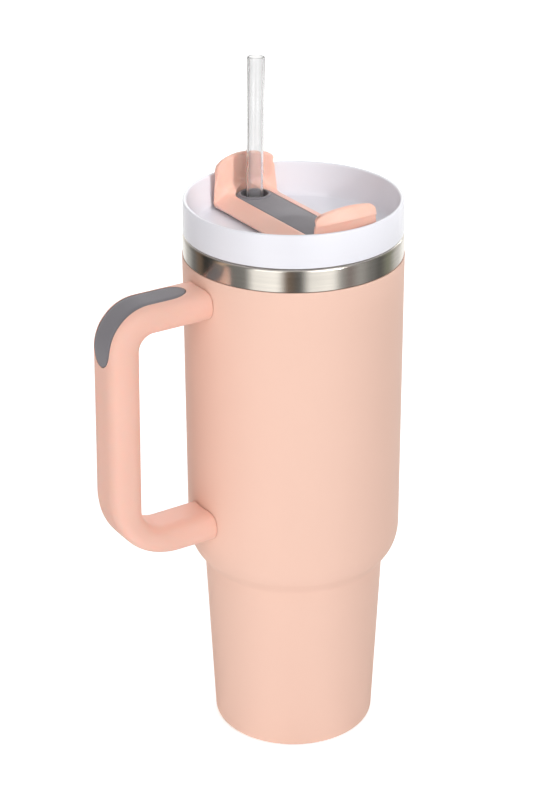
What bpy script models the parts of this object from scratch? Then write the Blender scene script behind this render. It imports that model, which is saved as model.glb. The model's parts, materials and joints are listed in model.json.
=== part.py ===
"""Insulated tumbler with a push-in lid, a rotary cover, a drinking straw and a bolted side handle.

Frame: metres, +Z up, origin at the centre of the base on the tumbler's axis. The handle points to -X.
The rotary cover's bar lies along Y, with the straw at its +Y end.
"""
import math

import bmesh
import bpy
from mathutils import Vector

MM = 0.001
TAU = 2.0 * math.pi

# Clearances
TOUCH_GAP = 0.3 * MM          # between two pieces that touch
RUN_GAP = 0.4 * MM            # between two pieces that slide or turn on each other
PAST = 5.0 * MM               # how far a cutter runs past what it cuts

# Double-walled vessel
BODY_RADIUS = 49.5 * MM       # painted outer wall, upper body
SHELL_WALL = 0.6 * MM
LINER_WALL = 0.6 * MM
VACUUM_GAP = 2.8 * MM         # space between the two walls
LOWER_HEIGHT = 86.8 * MM      # floor to the crease under the shoulder
UPPER_HEIGHT = 151.2 * MM     # crease to the top edge of the paint
SHOULDER_STEP = 7.56 * MM     # radius lost from the upper body to the crease
SHOULDER_SLOPE = math.radians(38.0)   # cone of the shoulder, from vertical
SHOULDER_ROUND = 24.0 * MM
LOWER_TAPER = 3.94 * MM       # radius lost from the crease to the base
BASE_ROUND = 2.0 * MM
FLOOR_HEIGHT = 9.0 * MM       # wet side of the liner's floor
FLOOR_ROUND = 5.0 * MM
BAND_HEIGHT = 10.4 * MM       # bare steel band above the paint, to the top of the lip
BAND_STEP = 0.3 * MM          # the bare band is a paint coat smaller than the body

# Base
PLATE_THICKNESS = 1.2 * MM
JACKET_RISE = 4.8 * MM        # top of the jacket's bottom
DIMPLE_RADIUS = 4.8 * MM
DIMPLE_DEPTH = 1.8 * MM
GETTER_RADIUS = 6.0 * MM
GETTER_THICKNESS = 1.8 * MM
GETTER_OFFSET = 17.0 * MM

# Handle
HANDLE_WIDTH = 22.0 * MM
GRIP_THICKNESS = 15.2 * MM
ARM_THICKNESS = 14.0 * MM
FINGER_GAP = 33.0 * MM        # body to the inner face of the grip, at the top
GRIP_LEAN = 2.5 * MM          # the grip stands further out at the bottom
HANDLE_DROP = 5.5 * MM        # paint edge to the top of the upper arm
HANDLE_FOOT_RISE = 4.8 * MM   # start of the shoulder to the underside of the lower arm
UPPER_BEND = 20.0 * MM        # outer radius of the upper bend
LOWER_BEND = 34.0 * MM
UPPER_INNER_BEND = 6.5 * MM
LOWER_INNER_BEND = 12.0 * MM
HANDLE_EDGE = 5.4 * MM        # rounding along the handle's edges
INLAY_HALF_WIDTH = 6.5 * MM
INLAY_THICKNESS = 1.2 * MM
INLAY_START = 7.0 * MM        # body to the inlay's tip on the upper arm
INLAY_DROP = 26.6 * MM        # top of the handle to the inlay's lower tip

# Handle brackets and screws
TONGUE_WIDTH = 10.0 * MM
TONGUE_HEIGHT = 5.0 * MM
TONGUE_LENGTH = 13.0 * MM
PAD_WIDTH = 14.0 * MM
PAD_HEIGHT = 8.0 * MM
PAD_THICKNESS = 1.4 * MM
SCREW_OFFSET = 7.5 * MM       # body to the handle screw's axis
SCREW_RADIUS = 1.6 * MM
SCREW_HEAD_RADIUS = 3.1 * MM
SCREW_HEAD_HEIGHT = 2.0 * MM
SCREW_SINK = 0.4 * MM         # arm's underside to the screw's head

# Lid
RIM_HEIGHT = 15.0 * MM        # lid seat to the top of the rim
LID_STEP = 0.45 * MM          # body radius to the lid's lower edge
LID_TAPER = 0.25 * MM
RIM_WIDTH = 1.8 * MM
DECK_DEPTH = 15.3 * MM        # rim to the deck
DECK_THICKNESS = 2.0 * MM
DECK_INSET = 4.5 * MM         # body radius to the foot of the rim's inner wall
SKIRT_DEPTH = 16.0 * MM       # seat to the skirt's lower edge
SKIRT_WALL = 2.6 * MM
SEAL_LIP = 0.9 * MM           # how far the seal stands out of the skirt
SEAL_HEIGHT = 3.8 * MM
SEAL_RISE = 3.8 * MM          # skirt's lower edge to the seal
SEAL_DEPTH = 0.8 * MM         # how deep the seal sits in the skirt

# Rotary cover
COVER_TURN = math.radians(19.0)
BAR_HALF_WIDTH = 17.2 * MM
BAR_TOP_HALF_WIDTH = 9.3 * MM
BAR_LIFT = 1.6 * MM           # deck to the bar's underside
BAR_EDGE = 1.0 * MM           # upright edge under the bar's sloped flank
BAR_HEIGHT = 4.8 * MM
WING_HEIGHT = 22.4 * MM       # bar's underside to the middle of the wing's top
WING_DROP = 3.2 * MM          # the wing's top falls this much to its corners
WING_THICKNESS = 2.6 * MM
WING_HALF_WIDTH = 16.2 * MM
WING_FILLET = 5.5 * MM
WING_CORNER = 1.6 * MM        # the wing's upper corners are cut back this far
WING_LIP = 1.6 * MM           # how far the finger lip stands out
WING_LIP_RISE = 2.0 * MM      # rim to the lip's underside
WING_SINK = 0.2 * MM          # the wings' ends lie this far inside the bar's faces
COVER_INLAY_HALF_WIDTH = 8.0 * MM
COVER_INLAY_THICKNESS = 1.1 * MM
COVER_INLAY_BACK = 37.0 * MM  # how far the inlay runs from the axis, away from the straw
PAD_INSET = 2.3 * MM          # bar's edge to the sealing pad's edge
PAD_SHEET = 0.9 * MM

# Straw
STRAW_RADIUS = 3.9 * MM
STRAW_WALL = 0.9 * MM
STRAW_INSET = 12.7 * MM       # deck's edge to the straw hole's centre
STRAW_FOOT_OVERHANG = 1.9 * MM   # how far the straw's foot reaches over the floor's rounding
STRAW_FOOT_SIDE = 9.5 * MM    # the straw's foot stands this far towards the handle
STRAW_PROUD = 54.4 * MM       # rim to the straw's tip
STRAW_FLOOR_GAP = 0.8 * MM
HOLE_RADIUS = 5.95 * MM       # wide mouth of the straw grommet
GROMMET_WALL = 0.65 * MM
GROMMET_RISE = 0.8 * MM       # raised ring above the inlay
GROMMET_RING = 1.35 * MM      # width of the raised ring
STRAW_EASE = 0.6 * MM         # straw to the grommet's lower lip
SLOT_EASE = 0.7 * MM          # straw to the edges of the slot and the pad's hole

# Drink opening in the deck
DRINK_INNER_INSET = 12.0 * MM
DRINK_OUTER_INSET = 4.6 * MM
DRINK_ANGLE = math.radians(-70.0)
DRINK_HALF_ANGLE = math.radians(7.5)

# Pivot
BOSS_RADIUS = 3.6 * MM
WASHER_RADIUS = 7.5 * MM
WASHER_THICKNESS = 0.9 * MM
PIVOT_SCREW_RADIUS = 1.5 * MM
PIVOT_HEAD_RADIUS = 3.2 * MM
PIVOT_HEAD_HEIGHT = 1.5 * MM
PIVOT_BITE = 1.6 * MM         # how far the screw reaches into the bar

ROUND = 48                    # sides of the large turned pieces
SMALL_ROUND = 24

# Levels and radii worked out from the sizes above
PAINT_TOP = LOWER_HEIGHT + UPPER_HEIGHT
LIP_TOP = PAINT_TOP + BAND_HEIGHT
BAND_RADIUS = BODY_RADIUS - BAND_STEP
CREASE_RADIUS = BODY_RADIUS - SHOULDER_STEP
BASE_RADIUS = CREASE_RADIUS - LOWER_TAPER
LINER_INSET = SHELL_WALL + VACUUM_GAP + LINER_WALL
NECK_RADIUS = BODY_RADIUS - LINER_INSET
SHOULDER_TOP = (LOWER_HEIGHT + SHOULDER_STEP / math.tan(SHOULDER_SLOPE)
                + SHOULDER_ROUND * math.tan(SHOULDER_SLOPE / 2.0))
SEAT = LIP_TOP + RUN_GAP
RIM_TOP = SEAT + RIM_HEIGHT
DECK_TOP = RIM_TOP - DECK_DEPTH
DECK_BOTTOM = DECK_TOP - DECK_THICKNESS
DECK_RADIUS = BODY_RADIUS - DECK_INSET
SKIRT_BOTTOM = SEAT - SKIRT_DEPTH
SKIRT_RADIUS = NECK_RADIUS - TOUCH_GAP - SEAL_LIP
BAR_BOTTOM = DECK_TOP + BAR_LIFT
BAR_TOP = BAR_BOTTOM + BAR_HEIGHT
WING_RADIUS = DECK_RADIUS - 1.0 * MM
STRAW_PITCH = DECK_RADIUS - STRAW_INSET
STRAW_TOP = RIM_TOP + STRAW_PROUD
HANDLE_TOP = PAINT_TOP - HANDLE_DROP
HANDLE_BOTTOM = SHOULDER_TOP + HANDLE_FOOT_RISE
HANDLE_REACH = BODY_RADIUS + FINGER_GAP + GRIP_THICKNESS


# ---------------------------------------------------------------- scene and materials

def clear_scene():
    """Remove whatever the open file holds."""
    for item in list(bpy.data.objects):
        bpy.data.objects.remove(item, do_unlink=True)


def material(name, colour, roughness, metallic=0.0, transmission=0.0):
    """A Principled material with one colour."""
    mat = bpy.data.materials.new(name)
    mat.use_nodes = True
    shader = mat.node_tree.nodes["Principled BSDF"]
    shader.inputs["Base Color"].default_value = (*colour, 1.0)
    shader.inputs["Roughness"].default_value = roughness
    shader.inputs["Metallic"].default_value = metallic
    shader.inputs["Transmission Weight"].default_value = transmission
    mat.diffuse_color = (*colour, 1.0)
    return mat


def make_materials():
    """Every finish on the tumbler."""
    return {
        "paint": material("peach_paint", (0.90, 0.58, 0.47), 0.45),
        "steel": material("brushed_steel", (0.62, 0.60, 0.57), 0.30, 1.0),
        "screw": material("screw_steel", (0.55, 0.55, 0.56), 0.35, 1.0),
        "plastic": material("peach_plastic", (0.92, 0.56, 0.46), 0.42),
        "soft": material("grey_soft_touch", (0.20, 0.19, 0.21), 0.65),
        "lid": material("milky_plastic", (0.82, 0.82, 0.88), 0.30, 0.0, 0.35),
        "silicone": material("clear_silicone", (0.75, 0.76, 0.78), 0.50, 0.0, 0.30),
        "glass": material("solder_glass", (0.10, 0.11, 0.13), 0.20),
        "getter": material("getter_metal", (0.35, 0.34, 0.33), 0.55, 1.0),
        "straw": material("clear_straw", (0.93, 0.94, 0.95), 0.08, 0.0, 0.90),
    }


# ---------------------------------------------------------------- shapes

def add_object(name, bm, mat, parent=None):
    """Turn a bmesh into a named object with outward faces and one material."""
    bmesh.ops.remove_doubles(bm, verts=bm.verts, dist=0.001 * MM)
    bmesh.ops.recalc_face_normals(bm, faces=bm.faces)
    mesh = bpy.data.meshes.new(name)
    bm.to_mesh(mesh)
    bm.free()
    mesh.shade_smooth()
    mesh.set_sharp_from_angle(angle=math.radians(35.0))
    if mat is not None:
        mesh.materials.append(mat)
    item = bpy.data.objects.new(name, mesh)
    bpy.context.scene.collection.objects.link(item)
    item.parent = parent
    return item


def add_empty(name, location, parent=None):
    """A plain marker on a joint's axis."""
    item = bpy.data.objects.new(name, None)
    item.empty_display_size = 10.0 * MM
    item.location = location
    item.parent = parent
    bpy.context.scene.collection.objects.link(item)
    return item


def turned(name, profile, mat, sides=ROUND, centre=(0.0, 0.0), parent=None):
    """Spin a (radius, height) profile about Z; a profile with both ends on the axis stays an open chain."""
    bm = bmesh.new()
    verts = [bm.verts.new((radius, 0.0, height)) for radius, height in profile]
    closed = profile[0][0] > 0.0 or profile[-1][0] > 0.0
    edges = [bm.edges.new(pair) for pair in zip(verts, verts[1:])]
    if closed:
        edges.append(bm.edges.new((verts[-1], verts[0])))
    bmesh.ops.spin(bm, geom=verts + edges, cent=(0, 0, 0), axis=(0, 0, 1),
                   angle=TAU, steps=sides, use_merge=True)
    bmesh.ops.translate(bm, verts=bm.verts, vec=(centre[0], centre[1], 0.0))
    return add_object(name, bm, mat, parent)


def prism(name, outline, mat, start, end, axis="Z", parent=None):
    """Extrude a flat outline from start to end along Z or Y; outline points are (x, y) or (x, z)."""
    bm = bmesh.new()
    if axis == "Z":
        verts = [bm.verts.new((a, b, start)) for a, b in outline]
        step = Vector((0.0, 0.0, end - start))
    else:
        verts = [bm.verts.new((a, start, b)) for a, b in outline]
        step = Vector((0.0, end - start, 0.0))
    face = bm.faces.new(verts)
    grown = bmesh.ops.extrude_face_region(bm, geom=[face])["geom"]
    bmesh.ops.translate(bm, verts=[v for v in grown if isinstance(v, bmesh.types.BMVert)], vec=step)
    return add_object(name, bm, mat, parent)


def box_outline(x0, x1, y0, y1):
    """The four corners of a rectangle."""
    return [(x0, y0), (x1, y0), (x1, y1), (x0, y1)]


def circle(radius, sides=SMALL_ROUND, centre=(0.0, 0.0)):
    """Points round a circle."""
    return [(centre[0] + radius * math.cos(TAU * i / sides),
             centre[1] + radius * math.sin(TAU * i / sides)) for i in range(sides)]


def arc(centre, radius, start, end, steps):
    """Points along an arc, both ends included; angles in radians."""
    return [(centre[0] + radius * math.cos(start + (end - start) * i / steps),
             centre[1] + radius * math.sin(start + (end - start) * i / steps))
            for i in range(steps + 1)]


def offset_line(points, distance):
    """Move an open line sideways to its left by distance, with mitred corners."""
    moved = []
    for i, point in enumerate(points):
        here = Vector(point)
        before = (here - Vector(points[i - 1])).normalized() if i else None
        after = (Vector(points[i + 1]) - here).normalized() if i + 1 < len(points) else None
        before = before or after
        after = after or before
        left = Vector((-before.y, before.x)) + Vector((-after.y, after.x))
        left = left.normalized()
        reach = distance / max(0.2, left.dot(Vector((-before.y, before.x))))
        moved.append((here.x + left.x * reach, here.y + left.y * reach))
    return moved


def modify(target, tool, operation):
    """Leave an exact Boolean on target and hide its tool."""
    tool.hide_render = True
    tool.display_type = "WIRE"
    step = target.modifiers.new(operation.title(), "BOOLEAN")
    step.operation = operation
    step.solver = "EXACT"
    step.object = tool


# ---------------------------------------------------------------- vessel

def wall_outline():
    """Outer line of the wall under the neck: shoulder, crease and taper, down to the base's rounding."""
    shoulder = arc((BODY_RADIUS - SHOULDER_ROUND, SHOULDER_TOP), SHOULDER_ROUND, 0.0, -SHOULDER_SLOPE, 6)
    return shoulder + [(CREASE_RADIUS, LOWER_HEIGHT), (BASE_RADIUS, TOUCH_GAP + BASE_ROUND)]


def body_outline():
    """Outer line of the painted wall, from the paint's edge down to the base's rounded edge."""
    foot = arc((BASE_RADIUS - BASE_ROUND, TOUCH_GAP + BASE_ROUND), BASE_ROUND, 0.0, -math.pi / 2.0, 4)
    return [(BODY_RADIUS, PAINT_TOP)] + wall_outline() + foot[1:]


def liner_outline():
    """Wet side of the liner, from the band's lower edge over the lip and down to the floor's centre."""
    lip_radius = (BAND_RADIUS - NECK_RADIUS) / 2.0
    lip_centre = (NECK_RADIUS + lip_radius, LIP_TOP - lip_radius)
    lip = arc(lip_centre, lip_radius, 0.0, math.pi, 8)
    wall = [(BODY_RADIUS, LIP_TOP)] + wall_outline()
    slant = LOWER_TAPER / LOWER_HEIGHT
    inner = offset_line(wall, -LINER_INSET)[1:-1]
    foot_radius = inner[-1][0] - (inner[-1][1] - FLOOR_HEIGHT - FLOOR_ROUND) * slant
    tilt = math.atan(slant)
    foot = arc((foot_radius - FLOOR_ROUND, FLOOR_HEIGHT + FLOOR_ROUND), FLOOR_ROUND, -tilt,
               -math.pi / 2.0, 5)
    return [(BAND_RADIUS, PAINT_TOP + TOUCH_GAP)] + lip + inner + foot + [(0.0, FLOOR_HEIGHT)]


def walled(line, thickness):
    """Close a line into a thin wall whose other face lies thickness to its left."""
    far = offset_line(line, thickness)
    if line[-1][0] == 0.0:
        far[-1] = (0.0, far[-1][1])
        return line[::-1] + far
    return line + far[::-1]


def make_vessel(mats):
    """Outer shell, liner, base plate and the pieces inside the vacuum."""
    turned("outer_shell", walled(body_outline(), -SHELL_WALL), mats["paint"])
    turned("inner_liner", walled(liner_outline(), LINER_WALL), mats["steel"])
    plate_radius = BASE_RADIUS - BASE_ROUND - RUN_GAP
    chamfer = 0.4 * MM
    turned("base_plate", [(0.0, 0.0), (plate_radius - chamfer, 0.0), (plate_radius, chamfer),
                          (plate_radius, PLATE_THICKNESS), (0.0, PLATE_THICKNESS)], mats["steel"])
    flange = BASE_RADIUS - SHELL_WALL - RUN_GAP
    jacket = [(flange, PLATE_THICKNESS + 1.2 * MM), (flange, JACKET_RISE - 0.6 * MM),
              (flange - 0.6 * MM, JACKET_RISE), (DIMPLE_RADIUS + DIMPLE_DEPTH, JACKET_RISE),
              (DIMPLE_RADIUS, JACKET_RISE + DIMPLE_DEPTH), (0.0, JACKET_RISE + DIMPLE_DEPTH)]
    turned("jacket_bottom", walled(jacket, SHELL_WALL), mats["steel"], 48)
    pit = JACKET_RISE + DIMPLE_DEPTH - SHELL_WALL - TOUCH_GAP
    bead = DIMPLE_RADIUS - 1.2 * MM
    turned("vacuum_seal_bead", [(0.0, pit - 1.0 * MM), (bead * 0.7, pit - 1.0 * MM), (bead, pit - 0.6 * MM),
                                (bead, pit), (0.0, pit)], mats["glass"], SMALL_ROUND)
    top = FLOOR_HEIGHT - LINER_WALL - TOUCH_GAP
    low = top - GETTER_THICKNESS
    turned("getter_capsule", [(0.0, top), (GETTER_RADIUS, top), (GETTER_RADIUS, low),
                              (GETTER_RADIUS - 1.2 * MM, low), (GETTER_RADIUS - 1.8 * MM, low + 0.6 * MM),
                              (0.0, low + 0.6 * MM)],
           mats["getter"], SMALL_ROUND, centre=(GETTER_OFFSET, 0.0))


# ---------------------------------------------------------------- handle

def leaned(point, root):
    """Move a point of the handle's side view out, more the lower and the further out it lies."""
    radius, height = point
    down = (HANDLE_TOP - height) / (HANDLE_TOP - HANDLE_BOTTOM)
    out = min(1.0, (radius - root) / (BODY_RADIUS + FINGER_GAP - root))
    return (radius + GRIP_LEAN * down * out, height)


def handle_line(inset_grip, inset_arm, upper, lower, root):
    """One edge of the handle seen from the side: out along the upper arm, down the grip, back again."""
    reach = HANDLE_REACH - inset_grip
    top = HANDLE_TOP - inset_arm
    bottom = HANDLE_BOTTOM + inset_arm
    line = [(root, top)]
    line += arc((reach - upper, top - upper), upper, math.pi / 2.0, 0.0, 8)
    line += arc((reach - lower, bottom + lower), lower, 0.0, -math.pi / 2.0, 10)
    line += [(root, bottom)]
    return [leaned(point, root) for point in line]


def inlay_stations():
    """Points along the handle's outer line from the inlay's tip on the arm to its tip on the grip."""
    outer = handle_line(0.0, 0.0, UPPER_BEND, LOWER_BEND, BODY_RADIUS + INLAY_START)
    path = [Vector(point) for point in outer[:10]]
    path.append(Vector(leaned((HANDLE_REACH, HANDLE_TOP - INLAY_DROP), BODY_RADIUS)))
    return path


def strip(name, mat, half_width, outer_depth, inner_depth, spread):
    """A band that follows the handle's outer line, crowned like it, with rounded tips."""
    path = inlay_stations()
    lengths = [0.0]
    for a, b in zip(path, path[1:]):
        lengths.append(lengths[-1] + (b - a).length)
    total = lengths[-1]
    tip = 10.0 * MM
    marks = [tip * (1.0 - math.cos(math.pi / 2.0 * i / 6)) for i in range(1, 7)]
    marks = sorted([-spread] + marks + [m for m in lengths if tip < m < total - tip]
                   + [total - m for m in marks] + [total + spread])
    flat = HANDLE_WIDTH / 2.0 - HANDLE_EDGE
    bm = bmesh.new()
    rows = []
    for mark in marks:
        i = max(k for k in range(len(lengths) - 1) if lengths[k] <= max(mark, 0.0))
        along = (path[i + 1] - path[i]).normalized()
        point = path[i] + along * (mark - lengths[i])
        out = Vector((-along.y, along.x))
        near = min(mark, total - mark) + spread
        share = min(1.0, max(0.0, near / (tip + spread)))
        width = (half_width + spread) * max(0.18, math.sqrt(1.0 - (1.0 - share) ** 2))
        row = []
        for side in (-1.0, -0.62, 0.0, 0.62, 1.0):
            across = side * width
            over = max(0.0, abs(across) - flat)
            drop = HANDLE_EDGE - math.sqrt(HANDLE_EDGE ** 2 - over ** 2)
            top = point - out * (outer_depth + drop)
            row.append(bm.verts.new((-top.x, across, top.y)))
        for side in (1.0, 0.0, -1.0):
            low = point - out * (inner_depth + drop)
            row.append(bm.verts.new((-low.x, side * width, low.y)))
        rows.append(row)
    bm.faces.new(rows[0])
    bm.faces.new(rows[-1][::-1])
    count = len(rows[0])
    for a, b in zip(rows, rows[1:]):
        for k in range(count):
            m = (k + 1) % count
            bm.faces.new((a[k], a[m], b[m], b[k]))
    return add_object(name, bm, mat)


def make_bracket(name, mats, height):
    """Steel bracket on the shell: a weld pad and a tongue with a screw hole."""
    inner = BODY_RADIUS + TOUCH_GAP
    half = PAD_HEIGHT / 2.0
    root = BODY_RADIUS - 4.0 * MM
    pad_face = math.sqrt(inner ** 2 - (PAD_WIDTH / 2.0) ** 2) + PAD_THICKNESS
    bracket = prism(name, box_outline(-pad_face, -root, -PAD_WIDTH / 2.0, PAD_WIDTH / 2.0), mats["steel"],
                    height - half, height + half)
    tongue = prism(name + "_tongue_tool",
                   box_outline(-inner - TONGUE_LENGTH, -root, -TONGUE_WIDTH / 2.0, TONGUE_WIDTH / 2.0), None,
                   height - TONGUE_HEIGHT / 2.0, height + TONGUE_HEIGHT / 2.0)
    modify(bracket, tongue, "UNION")
    wall = prism(name + "_wall_tool", circle(inner, ROUND), None, height - half - PAST, height + half + PAST)
    modify(bracket, wall, "DIFFERENCE")
    drill = prism(name + "_drill_tool", circle(SCREW_RADIUS + TOUCH_GAP, 16,
                                               (-BODY_RADIUS - SCREW_OFFSET, 0.0)), None,
                  height - PAD_HEIGHT / 2.0 - PAST, height + PAD_HEIGHT / 2.0 + PAST)
    modify(bracket, drill, "DIFFERENCE")


def cut_arm(handle, name, height, underside):
    """Pocket for a bracket and the stepped hole for its screw, in one arm of the handle."""
    room = RUN_GAP
    inner = BODY_RADIUS + TOUCH_GAP
    pad_face = math.sqrt(inner ** 2 - (PAD_WIDTH / 2.0) ** 2) + PAD_THICKNESS
    pad = prism(name + "_pad_tool", box_outline(-pad_face - room, -BODY_RADIUS + 12.0 * MM,
                                                -PAD_WIDTH / 2.0 - room, PAD_WIDTH / 2.0 + room), None,
                height - PAD_HEIGHT / 2.0 - room, height + PAD_HEIGHT / 2.0 + room)
    modify(handle, pad, "DIFFERENCE")
    pocket = prism(name + "_pocket_tool",
                   box_outline(-inner - TONGUE_LENGTH - room, -BODY_RADIUS + 11.0 * MM,
                               -TONGUE_WIDTH / 2.0 - room, TONGUE_WIDTH / 2.0 + room), None,
                   height - TONGUE_HEIGHT / 2.0 - room, height + TONGUE_HEIGHT / 2.0 + room)
    modify(handle, pocket, "DIFFERENCE")
    where = (-BODY_RADIUS - SCREW_OFFSET, 0.0)
    hole = prism(name + "_hole_tool", circle(SCREW_RADIUS + TOUCH_GAP, 16, where), None,
                 underside - PAST, height)
    modify(handle, hole, "DIFFERENCE")
    sink = prism(name + "_sink_tool", circle(SCREW_HEAD_RADIUS + RUN_GAP, 20, where), None,
                 underside - PAST, underside + SCREW_SINK + SCREW_HEAD_HEIGHT + TOUCH_GAP)
    modify(handle, sink, "DIFFERENCE")


def make_screw(name, mats, low, height):
    """Handle screw, driven up through the arm's underside into the bracket's tongue."""
    where = (-BODY_RADIUS - SCREW_OFFSET, 0.0)
    head = low + SCREW_HEAD_HEIGHT
    tip = height + TONGUE_HEIGHT / 2.0
    chamfer = 0.5 * MM
    socket_depth = 1.0 * MM
    socket_radius = 1.3 * MM
    turned(name, [(0.0, low + socket_depth), (socket_radius, low + socket_depth),
                  (socket_radius, low), (SCREW_HEAD_RADIUS - chamfer, low),
                  (SCREW_HEAD_RADIUS, low + chamfer), (SCREW_HEAD_RADIUS, head),
                  (SCREW_RADIUS, head), (SCREW_RADIUS, tip - chamfer), (SCREW_RADIUS - chamfer, tip),
                  (0.0, tip)], mats["screw"], 16, centre=where)


def make_handle(mats):
    """Moulded handle, its soft inlay, two brackets and two screws."""
    root = BODY_RADIUS - 8.0 * MM
    outer = handle_line(0.0, 0.0, UPPER_BEND, LOWER_BEND, root)
    inner = handle_line(GRIP_THICKNESS, ARM_THICKNESS, UPPER_INNER_BEND, LOWER_INNER_BEND, root)
    outline = [(-radius, z) for radius, z in outer + inner[::-1]]
    handle = prism("handle_body", outline, mats["plastic"], -HANDLE_WIDTH / 2.0, HANDLE_WIDTH / 2.0, "Y")
    bevel = handle.modifiers.new("Edge", "BEVEL")
    bevel.width = HANDLE_EDGE
    bevel.segments = 4
    bevel.limit_method = "ANGLE"
    bevel.angle_limit = math.radians(60.0)
    wall = prism("handle_wall_tool", circle(BODY_RADIUS + RUN_GAP, ROUND), None,
                 HANDLE_BOTTOM - PAST, HANDLE_TOP + PAST)
    modify(handle, wall, "DIFFERENCE")
    groove = strip("handle_groove_tool", None, INLAY_HALF_WIDTH, -2.0 * MM, INLAY_THICKNESS + TOUCH_GAP,
                   TOUCH_GAP)
    modify(handle, groove, "DIFFERENCE")
    strip("handle_grip_inlay", mats["soft"], INLAY_HALF_WIDTH, 0.0, INLAY_THICKNESS, 0.0)
    for side, underside in (("upper", HANDLE_TOP - ARM_THICKNESS), ("lower", HANDLE_BOTTOM)):
        height = underside + ARM_THICKNESS / 2.0
        cut_arm(handle, side, height, underside)
        make_bracket(side + "_bracket", mats, height)
        make_screw(side + "_bracket_screw", mats, underside + SCREW_SINK, height)


# ---------------------------------------------------------------- lid

def ring_sector(inner, outer, middle, half_angle, steps, rounded):
    """Outline of a stretch of a ring about the axis; rounded gives it half-circle ends."""
    start = middle - half_angle
    end = middle + half_angle
    points = arc((0.0, 0.0), outer, start, end, steps)
    if rounded:
        pitch = (inner + outer) / 2.0
        cap = (pitch * math.cos(end), pitch * math.sin(end))
        points += arc(cap, (outer - inner) / 2.0, end, end + math.pi, 6)[1:-1]
    points += arc((0.0, 0.0), inner, end, start, steps)
    if rounded:
        cap = (pitch * math.cos(start), pitch * math.sin(start))
        points += arc(cap, (outer - inner) / 2.0, start + math.pi, start + TAU, 6)[1:-1]
    return points


def make_lid(mats, parent):
    """Lid body with its rim, deck and skirt, and the seal ring in the skirt's groove."""
    low_radius = BODY_RADIUS - LID_STEP
    top_radius = low_radius - LID_TAPER
    inner_top = top_radius - RIM_WIDTH
    groove_low = SKIRT_BOTTOM + SEAL_RISE
    groove_high = groove_low + SEAL_HEIGHT + 2.0 * TOUCH_GAP
    groove_radius = SKIRT_RADIUS - SEAL_DEPTH - TOUCH_GAP
    skirt_inner = SKIRT_RADIUS - SKIRT_WALL
    round_off = 0.8 * MM
    step = NECK_RADIUS - TOUCH_GAP - 0.1 * MM
    rise = 1.3 * MM
    profile = [
        (low_radius, SEAT), (top_radius, RIM_TOP - round_off), (top_radius - 0.25 * MM, RIM_TOP - 0.2 * MM),
        (top_radius - round_off, RIM_TOP), (inner_top + 0.5 * MM, RIM_TOP), (inner_top, RIM_TOP - 0.5 * MM),
        (DECK_RADIUS, DECK_TOP + 1.1 * MM), (DECK_RADIUS - 0.35 * MM, DECK_TOP + 0.35 * MM),
        (DECK_RADIUS - 1.1 * MM, DECK_TOP), (BOSS_RADIUS + RUN_GAP, DECK_TOP),
        (BOSS_RADIUS + RUN_GAP, DECK_BOTTOM), (skirt_inner - 0.8 * MM, DECK_BOTTOM),
        (skirt_inner, DECK_BOTTOM - 0.8 * MM), (skirt_inner, SKIRT_BOTTOM), (SKIRT_RADIUS, SKIRT_BOTTOM),
        (SKIRT_RADIUS, groove_low), (groove_radius, groove_low), (groove_radius, groove_high),
        (SKIRT_RADIUS, groove_high), (SKIRT_RADIUS, SEAT - rise - (step - SKIRT_RADIUS)),
        (step, SEAT - rise), (step + rise, SEAT)]
    lid = turned("lid_body", profile, mats["lid"], parent=parent)
    ease = STRAW_RADIUS + SLOT_EASE
    slot = prism("straw_slot_tool", ring_sector(STRAW_PITCH - ease, STRAW_PITCH + ease, math.pi / 2.0,
                                                COVER_TURN, 10, True), None,
                 DECK_BOTTOM - PAST, DECK_TOP + PAST, parent=parent)
    modify(lid, slot, "DIFFERENCE")
    drink = prism("drink_opening_tool",
                  ring_sector(DECK_RADIUS - DRINK_INNER_INSET, DECK_RADIUS - DRINK_OUTER_INSET,
                              DRINK_ANGLE, DRINK_HALF_ANGLE, 4, False), None,
                  DECK_BOTTOM - PAST, DECK_TOP + PAST, parent=parent)
    modify(lid, drink, "DIFFERENCE")
    back = SKIRT_RADIUS - SEAL_DEPTH
    lip = SKIRT_RADIUS + SEAL_LIP
    low = groove_low + TOUCH_GAP
    high = low + SEAL_HEIGHT
    turned("lid_seal", [(back, low), (SKIRT_RADIUS + 0.1 * MM, low), (lip, low + 0.7 * MM),
                        (SKIRT_RADIUS + 0.1 * MM, low + 1.4 * MM), (SKIRT_RADIUS + 0.1 * MM, high - 1.4 * MM),
                        (lip, high - 0.7 * MM), (SKIRT_RADIUS + 0.1 * MM, high), (back, high)],
           mats["silicone"])


# ---------------------------------------------------------------- rotary cover

def wing_profile():
    """Section of a wing and the end of the bar, as (radius, height)."""
    lip_low = RIM_TOP + WING_LIP_RISE
    top = BAR_BOTTOM + WING_HEIGHT + WING_SINK
    inner = WING_RADIUS - WING_THICKNESS
    bar_end = inner - WING_FILLET
    fillet = arc((bar_end, BAR_TOP + WING_FILLET), WING_FILLET, 0.0, -math.pi / 2.0, 6)
    root = bar_end - 3.0 * MM
    low = BAR_BOTTOM + WING_SINK
    tip = WING_RADIUS + WING_LIP
    return [(root, low), (WING_RADIUS, low), (WING_RADIUS, lip_low), (tip, lip_low + 0.5 * MM),
            (tip, lip_low + 2.0 * MM), (WING_RADIUS + 0.6 * MM, top - 1.2 * MM),
            (WING_RADIUS - 0.5 * MM, top), (inner + 0.6 * MM, top - 0.2 * MM),
            (inner, top - 1.6 * MM)] + fillet + [
                (bar_end - WING_SINK, BAR_TOP - WING_SINK), (root, BAR_TOP - WING_SINK)]


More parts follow.
